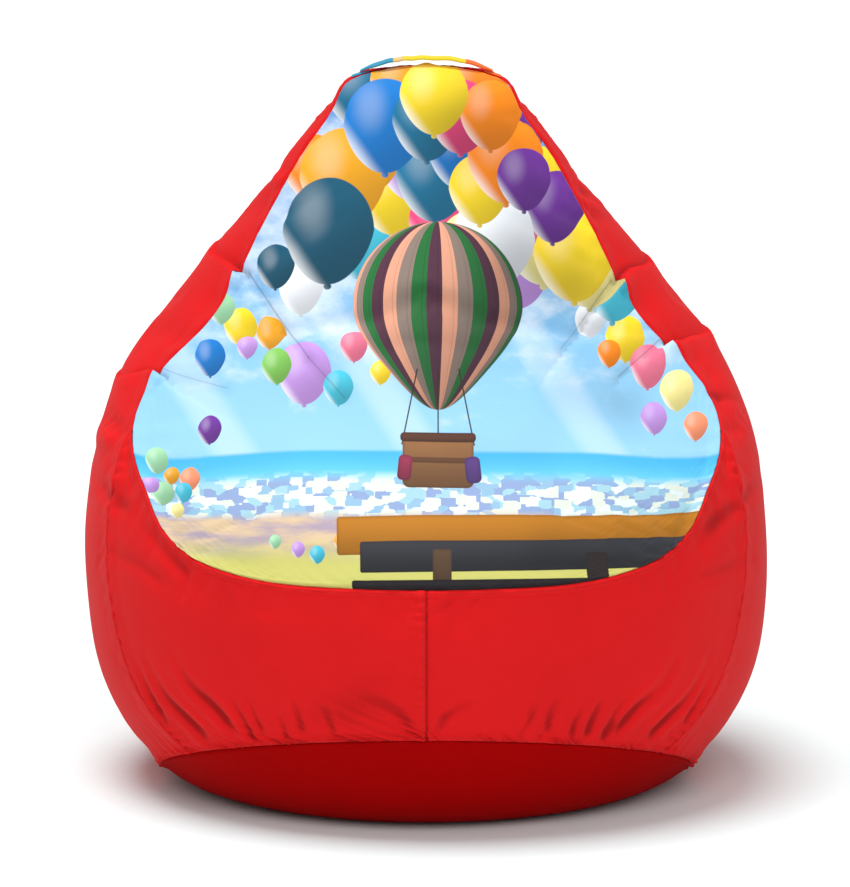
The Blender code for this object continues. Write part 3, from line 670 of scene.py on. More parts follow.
class Tree:
    """Short ways to add nodes to a material or group."""

    def __init__(self, tree):
        self.tree = tree

    def add(self, kind, inputs=None, **settings):
        made = self.tree.nodes.new(kind)
        for key, value in settings.items():
            setattr(made, key, value)
        for key, value in (inputs or {}).items():
            if isinstance(value, bpy.types.NodeSocket):
                self.tree.links.new(value, made.inputs[key])
            elif value is not None:
                made.inputs[key].default_value = value
        return made

    def math(self, operation, a, b=None, c=None, clamp=False):
        made = self.add("ShaderNodeMath", {0: a, 1: b, 2: c}, operation=operation, use_clamp=clamp)
        return made.outputs[0]

    def vector(self, operation, a, b=None, scale=None):
        inputs = {0: a, 1: b}
        if scale is not None:
            inputs[3] = scale
        made = self.add("ShaderNodeVectorMath", inputs, operation=operation)
        return made.outputs["Value" if operation in ("LENGTH", "DOT_PRODUCT", "DISTANCE") else "Vector"]

    def ramp(self, value, low, high, out_low=0.0, out_high=1.0, smooth=True):
        inputs = {0: value, 1: low, 2: high, 3: out_low, 4: out_high}
        kind = "SMOOTHSTEP" if smooth else "LINEAR"
        return self.add("ShaderNodeMapRange", inputs, interpolation_type=kind).outputs[0]

    def mix(self, share, a, b, blend="MIX"):
        made = self.add("ShaderNodeMix", data_type="RGBA", blend_type=blend)
        for index, value in ((0, share), (6, a), (7, b)):
            if isinstance(value, bpy.types.NodeSocket):
                self.tree.links.new(value, made.inputs[index])
            elif index == 0:
                made.inputs[index].default_value = value
            else:
                made.inputs[index].default_value = (*value, 1)
        return made.outputs[2]

    def noise(self, vector, scale, detail=3.0, roughness=0.5):
        inputs = {"Vector": vector, "Scale": scale, "Detail": detail, "Roughness": roughness}
        return self.add("ShaderNodeTexNoise", inputs).outputs[0]

    def uv(self, layer):
        return self.add("ShaderNodeUVMap", uv_map=layer).outputs[0]

    def place(self):
        return self.add("ShaderNodeTexCoord").outputs["Object"]

    def parts(self, vector):
        return self.add("ShaderNodeSeparateXYZ", {0: vector}).outputs

    def plain(self, colour):
        made = self.add("ShaderNodeRGB")
        made.outputs[0].default_value = (*colour, 1)
        return made.outputs[0]

    def paint(self, shader, colour, tone):
        """Base colour: the colour times an uneven tone around 1."""
        self.tree.links.new(self.vector("SCALE", colour, scale=tone), shader.inputs["Base Color"])

    def bump(self, shader, height, strength, distance):
        made = self.add("ShaderNodeBump", {"Strength": strength, "Distance": distance, "Height": height})
        self.tree.links.new(made.outputs[0], shader.inputs["Normal"])


def new_material(name, roughness=0.8, sheen=0.0, sheen_tint=(1, 1, 1), metallic=0.0, specular=0.5):
    """A material with its Principled shader's even values set, and its tree helper."""
    made = bpy.data.materials.new(name)
    made.use_nodes = True
    shader = made.node_tree.nodes["Principled BSDF"]
    shader.inputs["Roughness"].default_value = roughness
    shader.inputs["Metallic"].default_value = metallic
    shader.inputs["Specular IOR Level"].default_value = specular
    shader.inputs["Sheen Weight"].default_value = sheen
    shader.inputs["Sheen Roughness"].default_value = 0.45
    shader.inputs["Sheen Tint"].default_value = (*sheen_tint, 1)
    return made, Tree(made.node_tree), shader


def weave_height(t, uv, thread):
    """Plain weave: two rows of round threads that pass over each other, as a height 0 to 1."""
    parts = t.parts(uv)
    turns = math.pi / thread
    warp = t.math("SINE", t.math("MULTIPLY", parts[0], turns))
    weft = t.math("SINE", t.math("MULTIPLY", parts[1], turns))
    over = t.math("MULTIPLY", warp, weft)
    ribs = t.math("ADD", t.math("ABSOLUTE", warp), t.math("ABSOLUTE", weft))
    return t.math("MULTIPLY_ADD", over, 0.5, t.math("MULTIPLY", ribs, 0.35))


def cloth_bump(t, shader, uv, thread, strength=0.25):
    """Weave and fine slubs as bump on the shader."""
    weave = weave_height(t, uv, thread)
    slubs = t.noise(t.vector("MULTIPLY", uv, (1, 3, 1)), 420.0, 4.0)
    height = t.math("MULTIPLY_ADD", slubs, 0.9, weave)
    t.bump(shader, height, strength, 0.0004)
    return weave


def painted_fold_shade_and_highlight(t, tone, strength):
    """Painted shade and highlight: darkens a tone where folds and seams sink, and lifts it a little on their
    crests.
    """
    relief = t.uv("Relief")
    height = t.parts(relief)[0]
    shade = t.ramp(height, 0.08, 0.48, 1.0 - strength, 1.0)
    # painted highlight on the crests
    crest_highlight = t.ramp(height, 0.55, 0.95, 1.0, 1.0 + 0.16 * strength)
    return t.math("MULTIPLY", tone, t.math("MULTIPLY", shade, crest_highlight))


COVER_THREAD = 0.00055    # width of one thread of the cover's cloth


def woven_cloth(name, colour, thread=COVER_THREAD, sheen=0.1, variation=0.10, specular=0.2, fold_shade=0.0):
    """Plain woven cloth: thread pattern, slubs and slow uneven dye; its fold argument paints shade into the
    valleys and a highlight onto the crests.
    """
    pale = tuple(0.5 + 0.5 * value for value in colour)
    made, t, shader = new_material(name, 0.78, sheen, pale, specular=specular)
    uv = t.uv("Cloth")
    weave = cloth_bump(t, shader, uv, thread)
    place = t.place()
    dye = t.noise(place, 7.0, 4.0, 0.6)
    fleck = t.noise(uv, 900.0, 2.0)
    tone = t.math("MULTIPLY_ADD", t.math("SUBTRACT", dye, 0.5), variation * 1.6, 1.0)
    tone = t.math("MULTIPLY_ADD", t.math("SUBTRACT", fleck, 0.5), variation, tone)
    # raised threads lighter, the gaps between them darker: painted shade at thread scale
    tone = t.math("MULTIPLY_ADD", weave, 0.06, tone)
    # painted shade in the fold valleys and a painted highlight on their crests
    if fold_shade:
        tone = painted_fold_shade_and_highlight(t, tone, fold_shade)
    t.paint(shader, t.plain(colour), tone)
    return made


RED = srgb(214, 20, 23)
# the base is the same red cloth made darker and without sheen: painted shade, as it faces the floor
BASE_RED_PAINTED_SHADE = srgb(156, 1, 2)
# the red panels carry painted fold shade and crest highlight
red_cloth = woven_cloth("red_woven_cloth", RED, sheen=0.05, specular=0.12, fold_shade=0.46)
base_cloth = woven_cloth("base_red_cloth_painted_shade", BASE_RED_PAINTED_SHADE, sheen=0.0, specular=0.03)

# The picture on the front panel: sky, toy balloons, a hot-air balloon, a shore and a wooden jetty


def make_group(name, sockets):
    """An empty shader group with named inputs and a Colour output."""
    tree = bpy.data.node_groups.new(name, "ShaderNodeTree")
    for label, kind in sockets:
        tree.interface.new_socket(label, in_out="INPUT", socket_type=kind)
    tree.interface.new_socket("Colour", in_out="OUTPUT", socket_type="NodeSocketColor")
    t = Tree(tree)
    return tree, t, t.add("NodeGroupInput").outputs, t.add("NodeGroupOutput")


def in_turn(t, given):
    """The place, tied to the colour below by a share too small to see: shapes are painted one by one."""
    share = t.vector("MULTIPLY", given["Under"], (1e-7, 1e-7, 1e-7))
    return t.vector("ADD", given["Place"], share)


def balloon_group():
    """An egg-shaped balloon with soft shading, a bright rim below and a highlight, over a colour."""
    sockets = (("Place", "NodeSocketVector"), ("Centre", "NodeSocketVector"), ("Radius", "NodeSocketFloat"),
               ("Tint", "NodeSocketColor"), ("Under", "NodeSocketColor"))
    tree, t, given, result = make_group("toy_balloon", sockets)
    away = t.vector("SUBTRACT", in_turn(t, given), given["Centre"])
    away = t.vector("SCALE", away, scale=t.math("DIVIDE", 1.0, given["Radius"]))
    away = t.vector("MULTIPLY", away, (1.0, 0.86, 0.0))
    parts = t.parts(away)
    low = t.math("MINIMUM", parts[1], 0.0)
    across = t.math("MULTIPLY", parts[0], t.math("MULTIPLY_ADD", low, -0.22, 1.0))
    shaped = t.add("ShaderNodeCombineXYZ", {0: across, 1: parts[1]})
    d = t.vector("LENGTH", shaped.outputs[0])
    inside = t.ramp(d, 0.975, 1.0, 1.0, 0.0)
    knot = t.vector("LENGTH", t.vector("MULTIPLY", t.vector("ADD", away, (0, 1.02, 0)), (1, 1.4, 0)))
    inside = t.math("MAXIMUM", inside, t.ramp(knot, 0.07, 0.1, 1.0, 0.0))
    light = t.ramp(t.vector("DOT_PRODUCT", away, (-0.35, 0.75, 0)), -0.75, 0.75, 0.62, 1.12)
    lit = t.vector("SCALE", given["Tint"], scale=light)
    rim = t.ramp(t.vector("DOT_PRODUCT", away, (-0.75, -0.6, 0)), 0.55, 1.0, 0.0, 0.75)
    from_shine = t.vector("MULTIPLY", t.vector("ADD", away, (0.36, -0.42, 0)), (1.3, 1, 0))
    shine = t.ramp(t.vector("LENGTH", from_shine), 0.1, 0.75, 0.16, 0.0)
    white = t.math("MAXIMUM", rim, shine)
    final = t.mix(inside, given["Under"], t.mix(white, lit, (1, 1, 1)))
    t.tree.links.new(final, result.inputs[0])
    return tree


def block_group():
    """A turned rectangle with rounded corners, shaded from top to bottom, over a colour."""
    sockets = (("Place", "NodeSocketVector"), ("Centre", "NodeSocketVector"), ("Half", "NodeSocketVector"),
               ("Turn", "NodeSocketFloat"), ("Round", "NodeSocketFloat"), ("Tint", "NodeSocketColor"),
               ("Shade", "NodeSocketFloat"), ("Under", "NodeSocketColor"))
    tree, t, given, result = make_group("soft_block", sockets)
    away = t.vector("SUBTRACT", in_turn(t, given), given["Centre"])
    angles = {"Vector": away, "Angle": given["Turn"]}
    turned = t.add("ShaderNodeVectorRotate", angles, rotation_type="Z_AXIS").outputs[0]
    corner = t.add("ShaderNodeCombineXYZ", {0: given["Round"], 1: given["Round"]}).outputs[0]
    inner = t.vector("ADD", t.vector("SUBTRACT", t.vector("ABSOLUTE", turned), given["Half"]), corner)
    past = t.vector("LENGTH", t.vector("MAXIMUM", inner, (0, 0, 0)))
    gap = t.math("SUBTRACT", past, given["Round"])
    inside = t.ramp(gap, -0.0006, 0.0006, 1.0, 0.0)
    height = t.parts(t.vector("DIVIDE", turned, given["Half"]))[1]
    dark = t.math("MULTIPLY", t.ramp(height, -1.0, 1.0, 1.0, 0.0), given["Shade"])
    dark = t.math("SUBTRACT", 1.0, dark)
    edge = t.ramp(gap, -0.005, 0.0, 1.0, 0.72)
    lit = t.vector("SCALE", given["Tint"], scale=t.math("MULTIPLY", dark, edge))
    t.tree.links.new(t.mix(inside, given["Under"], lit), result.inputs[0])
    return tree


TEAL = srgb(22, 112, 150)
DEEP_TEAL = srgb(20, 84, 110)
BLUE = srgb(20, 120, 200)
CYAN = srgb(70, 190, 215)
ORANGE = srgb(255, 140, 20)
AMBER = srgb(238, 165, 30)
YELLOW = srgb(250, 215, 40)
CREAM = srgb(246, 232, 150)
PINK = srgb(232, 70, 125)
ROSE = srgb(240, 120, 150)
PURPLE = srgb(110, 50, 150)
LILAC = srgb(196, 150, 226)
WHITE = srgb(238, 240, 246)
MINT = srgb(160, 215, 170)
GREEN = srgb(130, 195, 90)
CORAL = srgb(250, 150, 110)

# centre across, centre up, radius, all in metres on the flat picture, and tint; back ones first
BALLOONS = (
    (0.235, 0.7, 0.022, CYAN), (0.262, 0.625, 0.026, YELLOW), (0.292, 0.59, 0.024, ROSE),
    (0.24, 0.605, 0.016, ORANGE), (0.215, 0.65, 0.02, WHITE), (0.33, 0.56, 0.022, CREAM),
    (0.355, 0.515, 0.016, CORAL), (0.3, 0.525, 0.018, LILAC), (-0.245, 0.64, 0.022, YELLOW),
    (-0.27, 0.665, 0.018, MINT), (-0.205, 0.63, 0.02, AMBER), (-0.235, 0.612, 0.014, LILAC),
    (-0.285, 0.6, 0.021, BLUE), (-0.16, 0.575, 0.036, LILAC), (-0.196, 0.585, 0.02, GREEN),
    (-0.285, 0.508, 0.016, PURPLE), (-0.355, 0.47, 0.015, MINT), (-0.335, 0.45, 0.011, AMBER),
    (-0.31, 0.445, 0.014, CORAL), (-0.345, 0.425, 0.014, MINT), (-0.318, 0.427, 0.012, CYAN),
    (-0.325, 0.402, 0.009, CREAM), (-0.36, 0.435, 0.01, LILAC), (-0.115, 0.555, 0.02, CYAN),
    (-0.14, 0.345, 0.01, CYAN), (-0.165, 0.352, 0.009, LILAC), (-0.195, 0.362, 0.008, MINT),
    (-0.11, 0.362, 0.009, AMBER), (-0.06, 0.575, 0.014, YELLOW), (-0.095, 0.61, 0.018, ROSE),
    (-0.085, 0.955, 0.05, TEAL), (-0.035, 0.965, 0.04, AMBER), (0.06, 0.965, 0.048, ORANGE),
    (0.12, 0.905, 0.04, PURPLE), (-0.095, 0.8, 0.048, PINK), (-0.15, 0.85, 0.04, ORANGE),
    (0.0, 0.72, 0.045, CYAN), (-0.165, 0.69, 0.03, WHITE), (-0.085, 0.745, 0.04, CYAN),
    (-0.2, 0.72, 0.026, DEEP_TEAL), (0.245, 0.7, 0.046, CYAN), (0.205, 0.79, 0.04, ROSE),
    (0.12, 0.715, 0.045, LILAC), (0.215, 0.725, 0.052, CREAM), (0.155, 0.765, 0.061, CREAM),
    (0.195, 0.735, 0.054, YELLOW), (0.1, 0.78, 0.056, ROSE), (0.14, 0.825, 0.049, YELLOW),
    (0.17, 0.8, 0.041, PURPLE), (-0.045, 0.815, 0.049, YELLOW), (-0.02, 0.855, 0.044, LILAC),
    (0.025, 0.775, 0.049, PINK), (0.06, 0.735, 0.049, CREAM), (0.09, 0.755, 0.056, WHITE),
    (-0.075, 0.865, 0.044, AMBER), (0.01, 0.835, 0.051, TEAL), (0.045, 0.87, 0.044, BLUE),
    (0.07, 0.82, 0.041, YELLOW), (0.105, 0.86, 0.051, ORANGE), (0.13, 0.835, 0.037, PURPLE),
    (-0.11, 0.835, 0.059, AMBER), (-0.055, 0.905, 0.056, BLUE), (0.0, 0.91, 0.046, TEAL),
    (0.045, 0.918, 0.044, PINK), (0.085, 0.92, 0.041, ORANGE), (0.01, 0.945, 0.046, YELLOW),
    (-0.13, 0.765, 0.062, DEEP_TEAL),
)


def stepped_colours(t, value, colours):
    """Equal bands of plain colours over a value from 0 to 1."""
    made = t.add("ShaderNodeValToRGB", {0: value})
    made.color_ramp.interpolation = "CONSTANT"
    stops = made.color_ramp.elements
    stops.remove(stops[1])
    stops[0].position = 0
    stops[0].color = (*colours[0], 1)
    for number, colour in enumerate(colours[1:], 1):
        stops.new(number / len(colours)).color = (*colour, 1)
    return made.outputs[0]


def sky_and_shore(t, place, u, v):
    """Sky with cloud banks and light beams, a band of sea, a hazy town and a yellow-green meadow."""
    clear = t.mix(t.ramp(v, 0.48, 0.95), srgb(150, 206, 240), srgb(62, 136, 208))
    clouds = t.noise(t.vector("MULTIPLY", place, (1.0, 1.7, 1.0)), 9.0, 6.0, 0.62)
    bank = t.math("ADD", clouds, t.ramp(v, 0.5, 0.68, -0.12, 0.10))
    colour = t.mix(t.ramp(bank, 0.46, 0.74, 0.0, 0.70), clear, srgb(232, 240, 250))
    beam = t.math("SINE", t.math("MULTIPLY_ADD", u, 26.0, t.math("MULTIPLY", v, 17.0)))
    colour = t.mix(t.ramp(beam, 0.5, 1.0, 0.0, 0.22), colour, (1, 1, 1))
    sea = t.mix(t.ramp(v, 0.418, 0.474), srgb(120, 215, 240), srgb(72, 180, 232))
    colour = t.mix(t.ramp(v, 0.470, 0.476, 1.0, 0.0), colour, sea)
    squat = {"Vector": t.vector("MULTIPLY", place, (1.0, 1.9, 1.0)), "Scale": 62.0}
    blocks = t.add("ShaderNodeTexVoronoi", squat, distance="CHEBYCHEV").outputs["Color"]
    share = t.parts(blocks)[0]
    roofs = stepped_colours(t, share, (srgb(120, 165, 205), srgb(150, 200, 215), srgb(245, 247, 250),
                                       srgb(110, 120, 190), srgb(236, 232, 205)))
    colour = t.mix(t.ramp(v, 0.432, 0.450, 1.0, 0.0), colour, t.mix(0.35, roofs, srgb(190, 225, 240)))
    drift = t.noise(t.vector("MULTIPLY", place, (1.0, 4.0, 1.0)), 14.0, 4.0)
    field = t.mix(t.ramp(drift, 0.35, 0.65), srgb(224, 196, 158), srgb(176, 158, 176))
    field = t.mix(t.ramp(v, 0.330, 0.372, 1.0, 0.0), field, srgb(206, 202, 112))
    shore = t.math("MULTIPLY_ADD", drift, 0.02, v)
    return t.mix(t.ramp(shore, 0.398, 0.412, 1.0, 0.0), colour, field)


ENVELOPE_CENTRE = (0.015, 0.665, 0.0)
ENVELOPE_RADIUS = 0.112
GORE_SETS = 1.32          # sets of four stripes in a radian of longitude
GORES = (srgb(84, 48, 66), srgb(226, 160, 132), srgb(140, 122, 112), srgb(38, 110, 56))


def envelope(t, place, under):
    """The hot-air balloon: gores as stripes by longitude, shaded as a ball, with a pointed skirt."""
    away = t.vector("SUBTRACT", place, ENVELOPE_CENTRE)
    away = t.vector("SCALE", away, scale=1 / ENVELOPE_RADIUS)
    x, y = t.parts(away)[:2]
    low = t.math("MINIMUM", y, 0.0)
    narrow = t.math("MULTIPLY_ADD", t.math("MULTIPLY", low, low), 0.55, 1.0)
    wide = t.math("MULTIPLY", x, narrow)
    tall = t.math("MULTIPLY", y, t.ramp(y, -0.1, 0.1, 0.80, 1.0))
    d = t.math("SQRT", t.math("ADD", t.math("MULTIPLY", wide, wide), t.math("MULTIPLY", tall, tall)))
    inside = t.ramp(d, 0.988, 1.0, 1.0, 0.0)
    girth = t.math("SQRT", t.math("MAXIMUM", t.math("SUBTRACT", 1.0, t.math("MULTIPLY", tall, tall)), 0.02))
    turn = t.math("ARCSINE", t.math("MINIMUM", t.math("MAXIMUM", t.math("DIVIDE", wide, girth), -1.0), 1.0))
    gore = t.math("FRACT", t.math("MULTIPLY_ADD", turn, GORE_SETS, 0.18))
    stripes = stepped_colours(t, gore, GORES)
    ball = t.ramp(t.vector("DOT_PRODUCT", away, (-0.55, 0.6, 0)), -0.85, 0.75, 0.55, 1.15)
    folds = t.math("ABSOLUTE", t.math("SINE", t.math("MULTIPLY", turn, GORE_SETS * 4 * math.pi)))
    lit = t.vector("SCALE", stripes, scale=t.math("MULTIPLY", ball, t.ramp(folds, 0.0, 0.25, 0.82, 1.0)))
    return t.mix(inside, under, lit)


# painted shade of the creases that the tucks beside it press into the printed cloth: ends on the flat
# picture, and strength
PAINTED_CREASE_SHADES = (
    ((-0.237, 0.714), (-0.154, 0.595), 0.42), ((-0.154, 0.595), (-0.107, 0.542), 0.34),
    ((-0.345, 0.585), (-0.262, 0.560), 0.26), ((0.245, 0.703), (0.206, 0.650), 0.40),
    ((0.206, 0.650), (0.176, 0.608), 0.26), ((0.312, 0.628), (0.253, 0.576), 0.36),
)


def painted_crease_shade_group():
    """Painted crease shade: a thin dark line with a soft shade beside it, between two points, over a colour.
    """
    sockets = (("Place", "NodeSocketVector"), ("From", "NodeSocketVector"), ("Run", "NodeSocketVector"),
               ("Strength", "NodeSocketFloat"), ("Under", "NodeSocketColor"))
    tree, t, given, result = make_group("crease", sockets)
    away = t.vector("SUBTRACT", in_turn(t, given), given["From"])
    whole = t.vector("DOT_PRODUCT", given["Run"], given["Run"])
    share = t.math("DIVIDE", t.vector("DOT_PRODUCT", away, given["Run"]), whole)
    share = t.math("MINIMUM", t.math("MAXIMUM", share, 0.0), 1.0)
    gap = t.vector("LENGTH", t.vector("SUBTRACT", away, t.vector("SCALE", given["Run"], scale=share)))
    line = t.ramp(gap, 0.0004, 0.0022, 1.0, 0.0)
    soft = t.ramp(gap, 0.0, 0.016, 0.35, 0.0)
    dark = t.math("MULTIPLY", t.math("MAXIMUM", line, soft), given["Strength"])
    t.tree.links.new(t.mix(dark, given["Under"], (0.02, 0.03, 0.05)), result.inputs[0])
    return tree


# centre, half size, turn, corner radius, tint, shading; the basket, its ropes and the jetty
BASKET = (
    ((-0.022, 0.530), (0.0009, 0.050), 0.20, 0.0005, srgb(60, 45, 40), 0.0),
    ((0.052, 0.530), (0.0009, 0.050), -0.20, 0.0005, srgb(60, 45, 40), 0.0),
    ((0.015, 0.528), (0.0009, 0.048), 0.0, 0.0005, srgb(60, 45, 40), 0.0),
    ((0.015, 0.460), (0.046, 0.033), 0.0, 0.009, srgb(150, 104, 66), 0.55),
    ((0.015, 0.491), (0.049, 0.006), 0.0, 0.005, srgb(96, 60, 44), 0.3),
    ((0.015, 0.462), (0.047, 0.0035), 0.0, 0.002, srgb(112, 74, 50), 0.2),
    ((-0.028, 0.452), (0.009, 0.016), 0.1, 0.006, srgb(150, 50, 80), 0.4),
    ((0.060, 0.450), (0.010, 0.017), -0.1, 0.007, srgb(92, 62, 130), 0.4),
)
JETTY = (
    ((0.13, 0.372), (0.245, 0.024), -0.015, 0.004, srgb(190, 122, 30), 0.35),
    ((0.15, 0.345), (0.235, 0.020), -0.015, 0.003, srgb(58, 58, 64), 0.5),
    ((0.02, 0.322), (0.012, 0.030), 0.0, 0.003, srgb(96, 72, 52), 0.5),
    ((0.22, 0.318), (0.014, 0.030), 0.0, 0.003, srgb(52, 44, 42), 0.5),
    ((0.14, 0.300), (0.235, 0.014), -0.01, 0.003, srgb(36, 32, 36), 0.4),
)


def picture_colour(t):
    """Everything on the printed panel, painted from back to front, with the painted crease shade last."""
    place = t.uv("Picture")
    parts = t.parts(place)
    colour = sky_and_shore(t, place, parts[0], parts[1])
    ball, block = balloon_group(), block_group()

    def painted(under, group, items, names):
        for item in items:
            made = t.add("ShaderNodeGroup", None, node_tree=group)
            t.tree.links.new(place, made.inputs["Place"])
            for key, value in zip(names, item):
                made.inputs[key].default_value = value
            t.tree.links.new(under, made.inputs["Under"])
            under = made.outputs[0]
        return under

    def block_items(items):
        return [((*centre, 0), (*half, 1), turn, corner, (*tint, 1), shade)
                for centre, half, turn, corner, tint, shade in items]

    block_names = ("Centre", "Half", "Turn", "Round", "Tint", "Shade")
    balls = [((across, up, 0), radius, (*tint, 1)) for across, up, radius, tint in BALLOONS]
    colour = painted(colour, ball, balls, ("Centre", "Radius", "Tint"))
    colour = envelope(t, place, colour)
    colour = painted(colour, block, block_items(BASKET + JETTY), block_names)
    # painted shade of the creases, over the print
    crease_shades = [((*start, 0), (end[0] - start[0], end[1] - start[1], 0), strength)
               for start, end, strength in PAINTED_CREASE_SHADES]
    return painted(colour, painted_crease_shade_group(), crease_shades, ("From", "Run", "Strength"))


def printed_cloth():
    """The picture dyed into smooth woven polyester, with the weave's bump and faint flecks; painted shade in
    the weave's gaps and fold valleys, and a painted highlight on fold crests.
    """
    made, t, shader = new_material("printed_woven_cloth", 0.72, 0.10, specular=0.2)
    uv = t.uv("Cloth")
    weave = cloth_bump(t, shader, uv, COVER_THREAD, 0.2)
    fleck = t.noise(uv, 800.0, 2.0)
    tone = t.math("MULTIPLY_ADD", t.math("SUBTRACT", fleck, 0.5), 0.08, 0.97)
    # painted shade in the weave's gaps and fold valleys, painted highlight on fold crests
    tone = painted_fold_shade_and_highlight(t, t.math("MULTIPLY_ADD", weave, 0.05, tone), 0.35)
    t.paint(shader, picture_colour(t), tone)
    return made


# Cover -------------------------------------------------------------------------------------------


def base_edge(seed):
    return Seam(groove=0.0024, band=0.0085, pucker=0.0027, slant=0.9, pull=0.0023, reach=0.026, seed=seed)


def cover_panels():
    """The seven upper panels; the base is made apart."""
    lower = {
        "foot": base_edge(1.0),
        "head": Seam(groove=0.0016, band=0.008, pucker=0.0006, pull=0.0006, seed=2.0),
        "end": Seam(pull=0.0030, reach=0.014, apart=0.020, seed=3.0),
    }
    side = {
        "foot": base_edge(4.0),
        "start": Seam(groove=0.0016, pull=0.0010, reach=0.010, seed=5.0),
        "end": Seam(band=0.008, pucker=0.0005, pull=0.0012, seed=6.0),
    }
    back = {
        "foot": base_edge(7.0),
        "start": Seam(pull=0.0012, seed=8.0),
        "end": Seam(groove=0.0012, band=0.009, pucker=0.0004, pull=0.0006, seed=9.0),
    }
    printed = {
        "foot": Seam(groove=0.0014, pull=0.0005, seed=10.0),
        "start": Seam(groove=0.0014, pull=0.0006, seed=11.0),
        "end": Seam(groove=0.0014, pull=0.0006, seed=12.0),
    }
    made = [Panel("front_print_panel", front_print_patch, (214, 222), (72, 84), "printed_cloth", printed,
                  grading=0.3)]
    lapped = Seam(band=0.0105, pucker=0.0011, pull=0.0010, reach=0.02, seed=13.0)
    plain = Seam(band=0.0035, pull=0.0005, seed=14.0)
    for side_name, mirror, centre in (("left", -1, lapped), ("right", 1, plain)):
        red = (
            ("lower_front", lower_front_patch, (120, 110), (44, 30), {**lower, "start": centre}),
            ("side", side_patch, (112, 400), (38, 80), side),
            ("back", back_patch, (92, 250), (38, 80), back),
        )
        for part, patch, fine, coarse, seams in red:
            name = f"{part}_panel_{side_name}"
            made.append(Panel(name, patch, fine, coarse, "red_cloth", seams, mirror))
    return made


def cover(panels):
    """Simulates the panels together, then gives each its fine shape and its material."""
    finishes = {"red_cloth": red_cloth, "printed_cloth": printed_cloth()}
    moves = simulate_cover([panel.coarse_block() for panel in panels])
    for panel, moved in zip(panels, moves):
        piece = sewn(panel.shape(moved).build(), "bag", panel.name, finishes[panel.slot])


def base_panel():
    """The dished base: rings of points from the middle out to the base seam."""
    phi = np.linspace(0, 2 * np.pi, 360, endpoint=False)
    share = np.concatenate([np.linspace(0.02, 1, 26)[:-1], 1 + graded(46, 0.6)])
    edge = base_seam_ring(phi)
    v = np.where(share[:, None] <= 1, share[:, None], 1 + (edge - 1) * (share[:, None] - 1))
    points, normals = bag_surface(phi, v)
    outward = arc_lengths(points, 0)
    d = outward[-1:] - outward
    around = arc_lengths(points[-1:], 1)
    rise = ease((points[..., 2] - 0.004) / 0.03)
    seam = Seam(groove=0.0020, pull=0.0008, reach=0.015, seed=20.0)
    soft = all_folds(points, normals) * 0.5 + slow_relief(points)
    height = seam.height(around, d) * rise + soft * rise * ease(d / 0.012)
    shaped = points + normals * height[..., None]
    shaped[..., 2] = np.maximum(shaped[..., 2], FLOOR_GAP)
    rows, columns = shaped.shape[:2]
    faces = grid_faces(rows, columns, wrap=True).tolist() + pole_faces(0, rows * columns, columns)
    everything = np.concatenate([shaped.reshape(-1, 3), [[0, 0, FLOOR_GAP]]])
    piece = mesh_object("base_cloth", everything, faces, {"Cloth": everything[:, :2]})
    sewn(wall(piece, COVER_CLOTH), "bag", "base_panel", base_cloth)


PANELS = cover_panels()
cover(PANELS)
base_panel()

# Stitches ------------------------------------------------------------------------------------------

STITCH_PITCH = 0.0060
STITCH_LENGTH = 0.0044
THREAD_RADIUS = 0.00042
THREAD_SHARES = np.array([-0.5, -0.34, 0.0, 0.34, 0.5])                    # places along a stitch,
THREAD_RADII = THREAD_RADIUS * np.array([0.0, 0.8, 1.0, 0.8, 0.0])         # its radius there
THREAD_LIFTS = THREAD_RADIUS * np.array([-1.3, 0.2, 0.7, 0.2, -1.3])       # and its height
SEWN_LINES = (                                 # panel, its edge and the distance of the stitches from it
    ("lower_front_panel_left", "start", 0.0045),
    ("lower_front_panel_left", "head", 0.0062),
    ("lower_front_panel_right", "head", 0.0062),
    ("side_panel_left", "end", 0.0064),
    ("side_panel_right", "end", 0.0064),
    ("back_panel_left", "end", 0.0070),
    ("back_panel_right", "end", 0.0070),
    *((f"{name}_{side}", "foot", 0.0066) for name in ("lower_front_panel", "side_panel", "back_panel")
      for side in ("left", "right")),
)


def sewn_line(panel, side, distance):
    """Where a panel's cloth lies at an even distance from one edge: points and outward directions."""
    d = panel.gaps[side][1]
    grids = [panel.points, panel.normals]
    if side in ("start", "end"):
        d = d.T
        grids = [grid.transpose(1, 0, 2) for grid in grids]
    if d[0, 0] > d[-1, 0]:
        d = d[::-1]
        grids = [grid[::-1] for grid in grids]
    row = np.clip((d > distance).argmax(0), 1, None)
    column = np.arange(d.shape[1])
    low, high = d[row - 1, column], d[row, column]
    share = np.clip((distance - low) / np.maximum(high - low, 1e-9), 0, 1)[:, None]
    return [grid[row - 1, column] * (1 - share) + grid[row, column] * share for grid in grids]


def along_line(values, reach, at):
    return np.stack([np.interp(at, reach, column) for column in values.T], -1)


def stitch_places(points, normals):
    """Middle, direction and outward direction of each stitch along a line."""
    reach = np.concatenate([[0], np.cumsum(np.linalg.norm(np.diff(points, axis=0), axis=1))])
    at = np.arange(STITCH_PITCH, reach[-1] - STITCH_PITCH, STITCH_PITCH)
    ahead = along_line(points, reach, at + STITCH_PITCH / 3)
    behind = along_line(points, reach, at - STITCH_PITCH / 3)
    return along_line(points, reach, at), unit(ahead - behind), unit(along_line(normals, reach, at))


